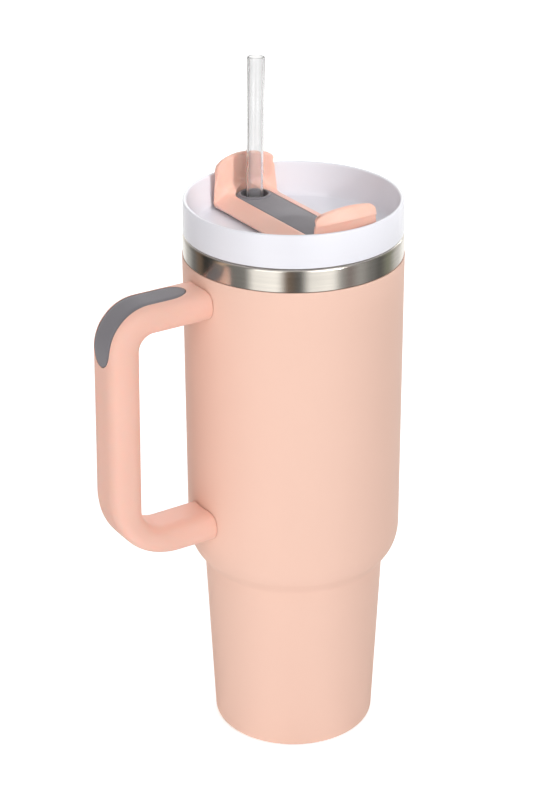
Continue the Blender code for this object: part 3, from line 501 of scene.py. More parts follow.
def brushed_steel(name, base, line_scale, streak_length, roughness):
    """Bare steel brushed round the cup: fine lines, broken streaks and stretched highlights."""
    finish, tree, shader, where = start_finish(name, Metallic=1.0, Roughness=roughness, Anisotropic=0.7,
                                               Anisotropic_Rotation=0.25)
    brush = use_group(tree, bpy.data.node_groups["Round brushing"], where, Line_scale=line_scale,
                      Streak_length=streak_length)
    tree.links.new(mix_colour(tree, brush.outputs["Streaks"], tinted(base, 0.90), tinted(base, 1.10)),
                   shader.inputs["Base Color"])
    tree.links.new(spread(tree, brush.outputs["Height"], roughness * 0.8, roughness * 1.25),
                   shader.inputs["Roughness"])
    bump(tree, shader, brush.outputs["Height"], 0.12, 0.00008)
    around = add(tree, "ShaderNodeTangent", direction_type="RADIAL", axis="Z")
    tree.links.new(around.outputs[0], shader.inputs["Tangent"])
    return finish


def turned_steel(base):
    """Screw and washer steel, faced on a lathe."""
    finish, tree, shader, where = start_finish("turned_steel", Metallic=1.0, Roughness=0.3)
    grain = use_group(tree, bpy.data.node_groups["Fine grain"], where, Grain_scale=6000.0, Drift_scale=160.0)
    tree.links.new(mix_colour(tree, grain.outputs["Drift"], tinted(base, 0.85), tinted(base, 1.05)),
                   shader.inputs["Base Color"])
    tree.links.new(spread(tree, grain.outputs["Height"], 0.24, 0.4), shader.inputs["Roughness"])
    bump(tree, shader, grain.outputs["Height"], 0.1, 0.00005)
    return finish


def clear_plastic(base):
    """Clear extruded tube with faint length-wise draw lines."""
    finish, tree, shader, where = start_finish("clear_plastic", Roughness=0.05, IOR=1.4,
                                               Transmission_Weight=0.94)
    grain = use_group(tree, bpy.data.node_groups["Fine grain"], where, Grain_scale=500.0, Drift_scale=60.0)
    tree.links.new(mix_colour(tree, grain.outputs["Drift"], tinted(base, 0.985), base),
                   shader.inputs["Base Color"])
    tree.links.new(spread(tree, grain.outputs["Drift"], 0.04, 0.09), shader.inputs["Roughness"])
    return finish


def silicone(base):
    """Frosted silicone for the seal and the sealing pad."""
    finish, tree, shader, where = start_finish("silicone", Roughness=0.5, IOR=1.41, Transmission_Weight=0.3,
                                               Subsurface_Weight=0.5, Subsurface_Radius=(0.004, 0.004, 0.004))
    grain = use_group(tree, bpy.data.node_groups["Fine grain"], where, Grain_scale=3000.0, Drift_scale=90.0)
    tree.links.new(mix_colour(tree, grain.outputs["Drift"], tinted(base, 0.96), tinted(base, 1.02)),
                   shader.inputs["Base Color"])
    tree.links.new(spread(tree, grain.outputs["Height"], 0.42, 0.6), shader.inputs["Roughness"])
    bump(tree, shader, grain.outputs["Height"], 0.12, 0.0001)
    return finish


def fused_glass():
    """Dark solder glass that closes the vacuum hole."""
    finish, tree, shader, where = start_finish("fused_glass", Roughness=0.12)
    grain = use_group(tree, bpy.data.node_groups["Fine grain"], where, Grain_scale=1500.0, Drift_scale=300.0)
    tree.links.new(mix_colour(tree, grain.outputs["Drift"], (0.03, 0.035, 0.04), (0.10, 0.11, 0.12)),
                   shader.inputs["Base Color"])
    bump(tree, shader, grain.outputs["Drift"], 0.2, 0.0002)
    return finish


def sintered_getter():
    """Sintered getter metal, dark and porous."""
    finish, tree, shader, where = start_finish("sintered_getter", Metallic=1.0, Roughness=0.6)
    grain = use_group(tree, bpy.data.node_groups["Fine grain"], where, Grain_scale=3500.0, Drift_scale=400.0)
    tree.links.new(mix_colour(tree, grain.outputs["Height"], (0.16, 0.155, 0.15), (0.42, 0.41, 0.39)),
                   shader.inputs["Base Color"])
    bump(tree, shader, grain.outputs["Height"], 0.5, 0.0002)
    return finish


def finish_named(name):
    """A finish that the finishes operator has made."""
    finish = bpy.data.materials.get(name)
    if finish is None:
        raise RuntimeError(f"make the finishes first: {name} is missing")
    return finish


class TUMBLER_OT_finishes(Operator):
    """Make every finish and dress the hidden parts of the frame"""
    bl_idname = "tumbler.finishes"
    bl_label = "Finishes"

    def execute(self, context):
        look = context.scene.tumbler_finishes
        grain_group()
        brushing_group()
        powder_coat(tuple(look.paint))
        moulded_plastic(tuple(look.plastic))
        soft_touch(tuple(look.soft))
        milky_plastic(tuple(look.lid))
        steel = tuple(look.steel)
        brushed_steel("brushed_band", steel, 7000.0, 30.0, 0.17)
        brushed_steel("spun_plate", tinted(steel, 0.95), 300.0, 300.0, 0.34)
        turned_steel(tinted(steel, 0.95))
        clear_plastic(tuple(look.straw))
        silicone((0.72, 0.73, 0.76))
        fused_glass()
        sintered_getter()
        kept = {"jacket_bottom": "spun_plate", "upper_bracket": "spun_plate", "lower_bracket": "spun_plate",
                "vacuum_seal_bead": "fused_glass", "getter_capsule": "sintered_getter",
                "cover_seal_pad": "silicone"}
        for node, finish in kept.items():
            slots = frame["nodes"][node].material_slots
            for place_in in slots:
                place_in.material = finish_named(finish)
        return {"FINISHED"}


# ---------------------------------------------------------------- vessel

def body_corners(sizes):
    """Outer line of the body, from the paint's edge down to the foot, as corners and their roundings."""
    radius = SHELL_HIGH[0]
    neck = sizes.crease_height + (radius - sizes.crease_radius) / math.tan(sizes.shoulder_slope)
    corners = [(radius, SHELL_HIGH[2]), (radius, neck), (sizes.crease_radius, sizes.crease_height),
               (sizes.base_radius, SHELL_LOW[2]), (sizes.base_radius - 2.0 * MM, SHELL_LOW[2])]
    return corners, [0.0, sizes.shoulder_blend, 1.6 * MM, 1.95 * MM, 0.0]


class TUMBLER_OT_vessel(Operator):
    """Make the painted shell, the steel liner with its bare band, and the base plate"""
    bl_idname = "tumbler.vessel"
    bl_label = "Vessel"

    def execute(self, context):
        sizes = context.scene.tumbler_vessel
        corners, reach = body_corners(sizes)
        line = soften_line(corners, reach, 14, 10)
        place("painted_shell", revolve(walled(line, -sizes.wall), 192), finish_named("powder_coat"),
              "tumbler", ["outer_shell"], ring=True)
        inset = SHELL_HIGH[0] - sizes.neck_radius
        neck = corners[1][1]
        tilt = (sizes.crease_radius - sizes.base_radius) / sizes.crease_height
        crease = (sizes.crease_radius - inset,
                  sizes.crease_height - inset * math.tan(sizes.shoulder_slope / 2.0))
        foot = (crease[0] - (crease[1] - sizes.floor_height) * tilt, sizes.floor_height)
        cup = soften_line([(LINER_HIGH[0], SHELL_HIGH[2] + 0.3 * MM), (LINER_HIGH[0], LINER_HIGH[2]),
                           (sizes.neck_radius, LINER_HIGH[2]),
                           (sizes.neck_radius, neck - inset * math.tan(sizes.shoulder_slope / 2.0)),
                           crease, foot, (0.0, sizes.floor_height)],
                          [0.0, sizes.lip_roll, sizes.lip_roll, sizes.shoulder_blend, 2.4 * MM, 6.0 * MM,
                           0.0],
                          12, 10)
        place("steel_liner", revolve(walled(cup, sizes.wall), 192), finish_named("brushed_band"),
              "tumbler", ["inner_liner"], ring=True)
        edge = PLATE_HIGH[0]
        low = PLATE_LOW[2]
        plate = soften_line([(0.0, low + 0.45 * MM), (edge - 9.0 * MM, low + 0.45 * MM),
                             (edge - 9.6 * MM + 1.2 * MM, low),
                             (edge, low), (edge, PLATE_HIGH[2]), (0.0, PLATE_HIGH[2])],
                            [0.0, 0.5 * MM, 0.5 * MM, 0.45 * MM, 0.1 * MM, 0.0], 6, 6)
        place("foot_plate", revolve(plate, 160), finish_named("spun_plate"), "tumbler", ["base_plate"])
        return {"FINISHED"}


# ---------------------------------------------------------------- handle

def handle_lines(sizes):
    """Outer and inner edge of the handle seen from the side, as matching (reach, height) stations.

    Each is an arm, an arc, the grip, an arc and an arm. Every point then moves out by
    lean * (share of the way down) * (share of the way out), because the grip leans.
    """
    root = SHELL_HIGH[0] - 8.0 * MM
    lean_out = -HANDLE_LOW[0]
    top, bottom = HANDLE_HIGH[2], HANDLE_LOW[2]
    reach = SHELL_HIGH[0] + 33.0 * MM + sizes.grip
    counts = (14, 22, 34, 26, 14)

    def edge(inset_grip, inset_arm, upper, lower):
        far = reach - inset_grip
        high = top - inset_arm
        low = bottom + inset_arm
        parts = [np.stack([np.linspace(root, far - upper, counts[0], endpoint=False),
                           np.full(counts[0], high)], 1),
                 arc((far - upper, high - upper), upper, np.pi / 2.0, 0.0, counts[1]),
                 np.stack([np.full(counts[2], far),
                           np.linspace(high - upper, low + lower, counts[2] + 2)[1:-1]], 1),
                 arc((far - lower, low + lower), lower, 0.0, -np.pi / 2.0, counts[3]),
                 np.stack([np.linspace(far - lower, root, counts[4] + 1)[1:], np.full(counts[4], low)], 1)]
        line = np.concatenate(parts)
        down = (top - line[:, 1]) / (top - bottom)
        out = np.clip((line[:, 0] - root) / (SHELL_HIGH[0] + 33.0 * MM - root), 0.0, 1.0)
        line[:, 0] += sizes.lean * down * out
        return line

    if lean_out < reach:
        raise RuntimeError("the handle's frame is narrower than its sizes say")
    return (edge(0.0, 0.0, sizes.upper_bend, sizes.lower_bend),
            edge(sizes.grip, sizes.arm, sizes.upper_inner_bend, sizes.lower_inner_bend))


def handle_rows(sizes):
    """The handle's surface: a rounded section carried along the two edges, ended on the body's round wall.

    A section has its corners at y = +-half width on the outer and the inner edge. Near the body the
    reach r of each point becomes sqrt(R^2 - y^2) at the end and keeps its own value at the arm's far end.
    """
    outer, inner = handle_lines(sizes)
    half = (HANDLE_HIGH[1] - HANDLE_LOW[1]) / 2.0
    depth = np.linalg.norm(outer - inner, axis=1)
    corner = np.empty((len(outer), 4, 3))
    corner[:, 0] = np.stack([outer[:, 0], np.full(len(outer), -half), outer[:, 1]], 1)
    corner[:, 1] = np.stack([outer[:, 0], np.full(len(outer), half), outer[:, 1]], 1)
    corner[:, 2] = np.stack([inner[:, 0], np.full(len(inner), half), inner[:, 1]], 1)
    corner[:, 3] = np.stack([inner[:, 0], np.full(len(inner), -half), inner[:, 1]], 1)
    reach = np.minimum(sizes.edge, depth * 0.49)[:, None]
    rows = soften(corner, np.broadcast_to(reach, corner.shape[:2]), 16, 5)
    wall = SHELL_HIGH[0] + sizes.gap
    end = np.sqrt(wall ** 2 - rows[..., 1] ** 2)
    far = wall + 14.0 * MM
    first = outer[0, 0]
    share = np.clip((rows[..., 0] - first) / (far - first), 0.0, 1.0)
    near = rows[..., 0] < far
    rows[..., 0] = np.where(near, end + (far - end) * share, rows[..., 0])
    rows[..., 0] *= -1.0
    return capped(rows)


def inlay_path(sizes):
    """Outer edge of the handle between the inlay's two tips, with its length so far and its outward side."""
    outer, _ = handle_lines(sizes)
    start = SHELL_HIGH[0] + sizes.inlay_start
    keep = (outer[:, 0] >= start) & (outer[:, 1] >= INLAY_LOW[2])
    last = len(outer) // 2
    keep[last:] = False
    line = outer[keep]
    first = np.array([[start, np.interp(start, outer[:last // 2, 0], outer[:last // 2, 1])]])
    tail = outer[last // 2:last * 3 // 2]
    tail_reach = np.interp(-INLAY_LOW[2], -tail[:, 1], tail[:, 0])
    line = np.concatenate([first, line, np.array([[tail_reach, INLAY_LOW[2]]])])
    steps = np.linalg.norm(np.diff(line, axis=0), axis=1)
    keep = np.concatenate([[True], steps > 1e-6])
    line = line[keep]
    run = np.concatenate([[0.0], np.cumsum(np.linalg.norm(np.diff(line, axis=0), axis=1))])
    return line, run


def inlay_rows(sizes, widen, top, bottom):
    """A strip that lies on the handle's outer face, from depth top to depth bottom below it.

    Its half width is w sqrt(1 - (1 - s)^2.5), where s grows from 0 to 1 over the tip's length, and its
    surface falls by e (1 - sqrt((h - |y|) / e))^2 beyond the flat, as the handle's own edge does.
    """
    line, run = inlay_path(sizes)
    total = run[-1]
    stretch = 0.5 * (1.0 - np.cos(np.linspace(0.0, np.pi, 90)))
    mark = -widen + (total + 2.0 * widen) * stretch
    spot = np.stack([np.interp(mark, run, line[:, 0]), np.interp(mark, run, line[:, 1])], 1)
    ahead = np.stack([np.interp(mark + 0.4 * MM, run, line[:, axis]) for axis in (0, 1)], 1)
    behind = np.stack([np.interp(mark - 0.4 * MM, run, line[:, axis]) for axis in (0, 1)], 1)
    along = ahead - behind
    along /= np.linalg.norm(along, axis=1, keepdims=True)
    spot += along * (np.minimum(mark, 0.0) + np.maximum(mark - total, 0.0))[:, None]
    inward = np.stack([along[:, 1], -along[:, 0]], 1)
    tip = sizes.inlay_tip
    share = np.clip(np.minimum(mark + widen, total + widen - mark) / tip, 0.0, 1.0)
    half = (sizes.inlay_half_width + widen) * np.sqrt(np.clip(1.0 - (1.0 - share) ** 2.5, 0.0, 1.0))
    half = np.maximum(half, 0.02 * MM)
    blend = 0.35 * MM
    section = soften(np.array([(-1.0, top), (1.0, top), (1.0, bottom), (-1.0, bottom)]), 0.0, 2, 12)
    across = section[:, 0][None] * half[:, None]
    edge_near = np.clip((half[:, None] - np.abs(across)) / blend, 0.0, 1.0)
    rounding = blend * (1.0 - np.sqrt(np.clip(1.0 - (1.0 - edge_near) ** 2, 0.0, 1.0))) * 0.6
    upper = section[:, 1][None] <= top + 1e-9
    body_half = (HANDLE_HIGH[1] - HANDLE_LOW[1]) / 2.0
    reach = sizes.edge
    beyond = np.sqrt(np.clip((body_half - np.abs(across)) / reach, 0.0, 1.0))
    fall = reach * np.clip(1.0 - beyond, 0.0, 1.0) ** 2
    depth = section[:, 1][None] + fall + np.where(upper & (top >= 0.0), rounding, 0.0)
    radius = spot[:, 0][:, None] + inward[:, 0][:, None] * depth
    height = spot[:, 1][:, None] + inward[:, 1][:, None] * depth
    return capped(np.stack([-radius, across, height], -1))


def hex_screw(low, high, head_radius, head_height, shank_radius, centre, socket):
    """A socket screw pointing up: turned all round, except that its socket's radius at angle a is
    s / cos(a mod 60 - 30 degrees), which is a hexagon."""
    head_top = low + head_height
    corners = [(0.0, low + 1.1 * MM, 1.0), (socket, low + 1.1 * MM, 1.0), (socket, low + 0.15 * MM, 1.0),
               (socket + 0.25 * MM, low, 0.0), (head_radius, low, 0.0), (head_radius, head_top, 0.0),
               (shank_radius, head_top, 0.0), (shank_radius, high, 0.0), (0.0, high, 0.0)]
    reach = [0.0, 0.02 * MM, 0.02 * MM, 0.1 * MM, 0.45 * MM, 0.15 * MM, 0.1 * MM, 0.4 * MM, 0.0]
    profile = soften_line(corners, reach, 5, 1)
    rows = revolve(profile[:, :2], 72)
    angle = np.linspace(0.0, 2.0 * np.pi, 72, endpoint=False)
    hexagon = math.cos(np.pi / 6.0) / np.cos(np.mod(angle, np.pi / 3.0) - np.pi / 6.0)
    scale = 1.0 + profile[:, 2][:, None] * (hexagon[None] - 1.0)
    rows[..., 0] = rows[..., 0] * scale + centre[0]
    rows[..., 1] = rows[..., 1] * scale + centre[1]
    return rows


class TUMBLER_OT_handle(Operator):
    """Make the side handle, its soft inlay and its two screws"""
    bl_idname = "tumbler.handle"
    bl_label = "Handle"

    def execute(self, context):
        sizes = context.scene.tumbler_handle
        handle = place("side_handle", handle_rows(sizes), finish_named("moulded_plastic"), "tumbler",
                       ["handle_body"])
        carve(handle, ("DIFFERENCE", inlay_rows(sizes, sizes.groove, -3.0 * MM, 1.5 * MM), False),
              *self.room("upper"), *self.room("lower"))
        place("handle_inlay", inlay_rows(sizes, 0.0, 0.0, 1.2 * MM), finish_named("soft_touch"), "tumbler",
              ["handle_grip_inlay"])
        for side in ("upper", "lower"):
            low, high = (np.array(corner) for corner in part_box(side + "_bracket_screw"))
            middle = (low + high) / 2.0
            place(side + "_handle_screw",
                  hex_screw(low[2], high[2], 3.1 * MM, 2.0 * MM, 1.6 * MM, middle, 1.35 * MM),
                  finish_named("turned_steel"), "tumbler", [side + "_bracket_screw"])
        return {"FINISHED"}

    def room(self, side):
        """Cuts in an arm: the screw's stepped hole from below, and pockets for the bracket's two ends."""
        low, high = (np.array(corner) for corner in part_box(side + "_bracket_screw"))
        screw = (low + high) / 2.0
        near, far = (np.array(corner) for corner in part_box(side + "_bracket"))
        middle = (near[2] + far[2]) / 2.0
        wall = -SHELL_HIGH[0]
        cuts = [(arc(screw, 1.9 * MM, 0.0, 2.0 * np.pi, 40)[:-1], low[2] - 8.0 * MM, middle),
                (arc(screw, 3.5 * MM, 0.0, 2.0 * np.pi, 56)[:-1], low[2] - 8.0 * MM, low[2] + 2.3 * MM)]
        for left, half, tall in ((near[0] - 0.4 * MM, 5.4 * MM, 2.9 * MM),
                                 (wall - 1.7 * MM, 7.4 * MM, 4.4 * MM)):
            outline = np.array([(left, -half), (wall + 12.0 * MM, -half),
                                (wall + 12.0 * MM, half), (left, half)])
            cuts.append((outline, middle - tall, middle + tall))
        return [("DIFFERENCE", upright(outline, start, end), False) for outline, start, end in cuts]


# ---------------------------------------------------------------- lid

def ring_stretch(inner, outer, middle, half_angle, blend):
    """Outline of a stretch of a ring: outer arc, then inner arc backwards, with rounded corners."""
    far = arc((0.0, 0.0), outer, middle - half_angle, middle + half_angle, 24)
    near = arc((0.0, 0.0), inner, middle + half_angle, middle - half_angle, 24)
    outline = np.concatenate([far, near])
    reach = np.zeros(len(outline))
    reach[[0, 23, 24, 47]] = blend
    return soften(outline, reach, 5)


def slot_outline(pitch, ease, middle, half_angle):
    """Outline of a round-ended slot that follows a circle of radius pitch."""
    start, end = middle - half_angle, middle + half_angle
    first = (pitch * math.cos(end), pitch * math.sin(end))
    last = (pitch * math.cos(start), pitch * math.sin(start))
    return np.concatenate([arc((0.0, 0.0), pitch + ease, start, end, 30),
                           arc(first, ease, end, end + np.pi, 14)[1:-1],
                           arc((0.0, 0.0), pitch - ease, end, start, 30),
                           arc(last, ease, start + np.pi, start + 2.0 * np.pi, 14)[1:-1]])


class TUMBLER_OT_lid(Operator):
    """Make the milky lid body with its openings, and the seal ring"""
    bl_idname = "tumbler.lid"
    bl_label = "Lid"

    def execute(self, context):
        sizes = context.scene.tumbler_lid
        cover = context.scene.tumbler_cover
        rim = LID_HIGH[2]
        seat = rim - sizes.rim_height
        deck = rim - sizes.deck_depth
        under = deck - sizes.deck_thickness
        bottom = LID_LOW[2]
        skirt = sizes.skirt_radius
        inner = skirt - sizes.skirt_wall
        low = SEAL_LOW[2] - 0.3 * MM
        high = SEAL_HIGH[2] + 0.3 * MM
        step = context.scene.tumbler_vessel.neck_radius - 0.4 * MM
        corners = [(sizes.seat_radius, seat), (sizes.rim_radius, rim),
                   (sizes.rim_radius - sizes.rim_width, rim),
                   (sizes.deck_radius, deck), (4.0 * MM, deck), (4.0 * MM, under), (inner, under),
                   (inner, bottom), (skirt, bottom), (skirt, low), (skirt - 1.1 * MM, low),
                   (skirt - 1.1 * MM, high), (skirt, high), (skirt, seat - 2.1 * MM), (step, seat - 1.3 * MM),
                   (step + 1.3 * MM, seat)]
        reach = np.array([0.5, 1.1, 1.1, 1.8, 0.3, 0.3, 1.2, 0.5, 0.6, 0.15, 0.1, 0.1, 0.15, 0.4, 0.4,
                          0.3]) * MM
        lid = place("milky_lid", revolve(soften(corners, reach, 7, 3), 192), finish_named("milky_plastic"),
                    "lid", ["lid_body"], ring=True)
        slot = slot_outline(cover.straw_pitch, SLOT_HALF_WIDTH, math.pi / 2.0, COVER_TURN)
        drink = ring_stretch(DRINK_INNER, DRINK_OUTER, DRINK_ANGLE, DRINK_HALF_ANGLE, DRINK_CORNER)
        carve(lid, ("DIFFERENCE", upright(slot, under - 4.0 * MM, deck + 4.0 * MM), False),
              ("DIFFERENCE", upright(drink, under - 4.0 * MM, deck + 4.0 * MM), False))
        back = skirt - 0.8 * MM
        tall = SEAL_HIGH[2] - SEAL_LOW[2]
        base = SEAL_LOW[2]
        lip = SEAL_HIGH[0]
        seal = [(back, base), (skirt + 0.1 * MM, base), (lip, base + 0.2 * MM), (lip, base + 0.9 * MM),
                (skirt + 0.1 * MM, base + 1.5 * MM), (skirt + 0.1 * MM, base + tall - 1.5 * MM),
                (lip, base + tall - 0.9 * MM), (lip, base + tall - 0.2 * MM), (skirt + 0.1 * MM, base + tall),
                (back, base + tall)]
        reach = np.array([0.1, 0.2, 0.3, 0.3, 0.4, 0.4, 0.3, 0.3, 0.2, 0.1]) * MM
        place("seal_band", revolve(soften(seal, reach, 5, 2), 160), finish_named("silicone"), "seal_ring",
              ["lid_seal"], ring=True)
        return {"FINISHED"}


# ---------------------------------------------------------------- rotary cover

def cover_lines(sizes):
    """Upper and lower line of half the cover, from the axis out along the bar and up the wing.

    Both are (reach, height). The upper one is the bar's top, a quarter circle and the wing's inner face;
    the lower one is the bar's underside, a tight corner, the wing's outer face and the finger lip.
    """
    top = COVER_HIGH[2]
    rim = LID_HIGH[2]
    inner = sizes.wing_radius - sizes.wing_thickness
    fillet = sizes.wing_fillet
    bar_end = inner - fillet
    bar = np.linspace(0.0, bar_end, 26, endpoint=False)
    turn = 20
    level = np.linspace(0.0, 1.0, 61)[1:]
    foot = sizes.bar_top + fillet
    cap = 1.15 * MM
    peak = top - cap
    climb = foot + (peak - foot) * level
    upper = np.concatenate([np.stack([bar, np.full(26, sizes.bar_top)], 1),
                            arc((bar_end, foot), fillet, -np.pi / 2.0, 0.0, turn),
                            np.stack([np.full(len(climb), inner), climb], 1)])
    corner = soften_line([(bar_end, sizes.bar_bottom), (sizes.wing_radius, sizes.bar_bottom),
                          (sizes.wing_radius, foot)], [0.0, 1.4 * MM, 0.0], 60)
    share = np.linspace(0.0, 1.0, turn)
    run = np.concatenate([[0.0], np.cumsum(np.linalg.norm(np.diff(corner, axis=0), axis=1))])
    bend = np.stack([np.interp(share * run[-1], run, corner[:, axis]) for axis in (0, 1)], 1)
    out = sizes.lip * (smooth(climb, rim + 2.5 * MM, rim + 3.1 * MM) - smooth(climb, rim + 3.6 * MM, top))
    lower = np.concatenate([np.stack([bar, np.full(26, sizes.bar_bottom)], 1), bend,
                            np.stack([sizes.wing_radius + out, climb], 1)])
    swing = np.linspace(0.0, np.pi / 2.0, 8)[1:, None]
    middle = (upper[-1] + lower[-1]) / 2.0
    half = (upper[-1] - lower[-1]) / 2.0
    rise = np.array([[0.0, cap]]) * np.sin(swing)
    upper = np.concatenate([upper, middle + half * np.cos(swing) + rise])
    lower = np.concatenate([lower, middle - half * np.cos(swing) + rise])
    return upper, lower


def cover_rows(sizes):
    """The cover's surface: a six-cornered section carried along the two lines, out and up on both sides.

    On the bar the section is flat between the ridges, slopes to a thin edge and is flat below; up the
    wing its ridges move out to the sides. A point then moves in by q (R - sqrt(R^2 - x^2)), where q
    grows from 0 to 1 towards the wing, so that the wing follows the round rim, and above the rim its
    height shrinks so that the wing's top is an arch with rounded corners.
    """
    upper, lower = cover_lines(sizes)
    q = smooth(upper[:, 1], sizes.bar_top + 0.2 * MM, sizes.bar_top + sizes.wing_fillet + 2.0 * MM)
    thick = np.linalg.norm(upper - lower, axis=1)
    wing = sizes.wing_half_width - 0.5 * MM * smooth(upper[:, 1], LID_HIGH[2] - 6.0 * MM, COVER_HIGH[2])
    half = sizes.bar_half_width + (wing - sizes.bar_half_width) * q
    ridge = sizes.ridge_half_width + (wing - 1.3 * MM - sizes.ridge_half_width) * q
    flank = (1.0 - 1.0 * MM / (sizes.bar_top - sizes.bar_bottom)) * (1.0 - q) + 0.5 * q
    side = upper + (lower - upper) * flank[:, None]

    def spots(across, line):
        return np.stack([across, line[:, 0], line[:, 1]], 1)

    corner = np.stack([spots(-ridge, upper), spots(ridge, upper), spots(half, side), spots(half, lower),
                       spots(-half, lower), spots(-half, side)], 1)
    ridge_reach = 0.9 * MM + 0.4 * MM * q
    side_reach = 0.35 * MM + 0.7 * MM * q
    foot_reach = 0.25 * MM + 0.9 * MM * q
    reach = np.stack([ridge_reach, ridge_reach, side_reach, foot_reach, foot_reach, side_reach], 1)
    reach = np.minimum(reach, np.maximum(thick, 0.05 * MM)[:, None])
    rows = soften(corner, reach, 5, 9)
    x, reach_out, height = rows[..., 0], rows[..., 1], rows[..., 2]
    beyond = np.maximum(0.0, reach_out - sizes.wing_radius)
    fade = smooth(np.abs(x), sizes.wing_half_width - 4.0 * MM, sizes.wing_half_width)
    reach_out = reach_out - 0.8 * beyond * fade
    pull = smooth(reach_out, 18.0 * MM, 34.0 * MM) * (
        sizes.wing_radius - np.sqrt(sizes.wing_radius ** 2 - x ** 2))
    base = LID_HIGH[2] - 0.5 * MM
    peak = COVER_HIGH[2]
    share = np.clip(np.abs(x) / sizes.wing_half_width, 0.0, 1.0)
    into = np.clip((np.abs(x) - (sizes.wing_half_width - sizes.wing_corner)) / sizes.wing_corner, 0.0, 0.96)
    fall = sizes.wing_sag * share ** 2 + sizes.wing_corner * (1.0 - np.sqrt(1.0 - into ** 2))
    squeeze = (peak - fall - base) / (peak - base)
    height = np.where(height > base, base + (height - base) * squeeze, height)
    half_cover = np.stack([x, reach_out - pull, height], -1)
    other = half_cover[::-1] * np.array([1.0, -1.0, 1.0])
    return np.concatenate([other, half_cover[1:]])


def cover_inlay_outline(sizes, half, widen):
    """Inlay seen from above: a half circle round the straw hole at one end, square with rounded corners
    at the other."""
    radius = half + widen
    back = PAD_LOW[1] - widen
    end = arc((0.0, sizes.straw_pitch), radius, 0.0, np.pi, 40)
    foot = soften_line([(-radius, sizes.straw_pitch), (-radius, back), (radius, back),
                        (radius, sizes.straw_pitch)],
                       [0.0, 1.5 * MM, 1.5 * MM, 0.0], 8, 14)
    return np.concatenate([end, foot[1:-1]])


def slab(outline, low, high, blend):
    """A flat slab: its outline carried up, drawn in by blend (1 - cos t) as it rises to its top."""
    middle = np.array([0.0, outline[:, 1].mean()])
    swing = np.linspace(0.0, np.pi / 2.0, 6)
    along = np.roll(outline, -1, 0) - np.roll(outline, 1, 0)
    along /= np.linalg.norm(along, axis=1, keepdims=True)
    inward = np.stack([-along[:, 1], along[:, 0]], 1)
    rings = [np.broadcast_to(middle, outline.shape), outline]
    level = [low, low]
    edge = outline[None] + inward[None] * (blend * (1.0 - np.cos(swing)))[:, None, None]
    height = high - blend + blend * np.sin(swing)
    stack = np.concatenate([np.stack(rings), edge, np.broadcast_to(middle, (1, *outline.shape))])
    tall = np.concatenate([level, height, [high]])
    return np.concatenate([stack, np.broadcast_to(tall[:, None, None], (*stack.shape[:2], 1))], -1)


class TUMBLER_OT_cover(Operator):
    """Make the rotary cover with its wings, its inlay, its straw ring and its pivot"""
    bl_idname = "tumbler.cover"
    bl_label = "Rotary cover"

    def execute(self, context):
        sizes = context.scene.tumbler_cover
        plastic = finish_named("moulded_plastic")
        steel = finish_named("turned_steel")
        soft = finish_named("soft_touch")
        top = sizes.bar_top
        centre = (0.0, sizes.straw_pitch)
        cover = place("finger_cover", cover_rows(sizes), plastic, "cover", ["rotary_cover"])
        pocket = upright(cover_inlay_outline(sizes, 8.3 * MM, 0.3 * MM), top - 1.4 * MM, top + 6.0 * MM)
        hole = revolve(np.array([(0.0, sizes.bar_bottom - 4.0 * MM), (6.9 * MM, sizes.bar_bottom - 4.0 * MM),
                                 (6.9 * MM, top + 4.0 * MM), (0.0, top + 4.0 * MM)]), 96, centre)
        carve(cover, ("DIFFERENCE", pocket, False), ("DIFFERENCE", hole, False))
        boss = soften_line([(0.0, COVER_LOW[2]), (3.6 * MM, COVER_LOW[2]),
                            (3.6 * MM, sizes.bar_bottom + 1.0 * MM),
                            (0.0, sizes.bar_bottom + 1.0 * MM)], [0.0, 0.3 * MM, 0.0, 0.0], 5)
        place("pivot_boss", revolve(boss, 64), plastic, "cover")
        inlay = place("bar_inlay",
                      slab(cover_inlay_outline(sizes, 8.3 * MM, 0.0), top - 1.1 * MM, top + 0.05 * MM,
                           0.3 * MM),
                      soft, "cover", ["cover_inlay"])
        carve(inlay, ("DIFFERENCE", hole, False))
        bore = sizes.hole_radius
        ring = soften([(6.6 * MM, GROMMET_LOW[2]), (6.6 * MM, top + 0.1 * MM), (7.3 * MM, top + 0.1 * MM),
                       (7.2 * MM, GROMMET_HIGH[2]), (bore + 0.15 * MM, GROMMET_HIGH[2]),
                       (bore, GROMMET_LOW[2] + 1.5 * MM), (4.5 * MM, GROMMET_LOW[2] + 0.8 * MM),
                       (4.5 * MM, GROMMET_LOW[2])],
                      np.array([0.1, 0.1, 0.05, 0.5, 0.5, 0.6, 0.2, 0.2]) * MM, 6, 2)
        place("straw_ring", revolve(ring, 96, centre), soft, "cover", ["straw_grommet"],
              ring=True)
        washer = soften([(1.8 * MM, WASHER_LOW[2]), (7.5 * MM, WASHER_LOW[2]), (7.5 * MM, WASHER_HIGH[2]),
                         (1.8 * MM, WASHER_HIGH[2])], 0.2 * MM, 5, 2)
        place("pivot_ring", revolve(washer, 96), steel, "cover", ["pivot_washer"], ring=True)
        place("pivot_bolt", hex_screw(SCREW_LOW[2], SCREW_HIGH[2], 3.2 * MM, 1.5 * MM, 1.5 * MM, (0.0, 0.0),
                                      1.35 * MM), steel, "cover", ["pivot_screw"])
        return {"FINISHED"}


# ---------------------------------------------------------------- straw

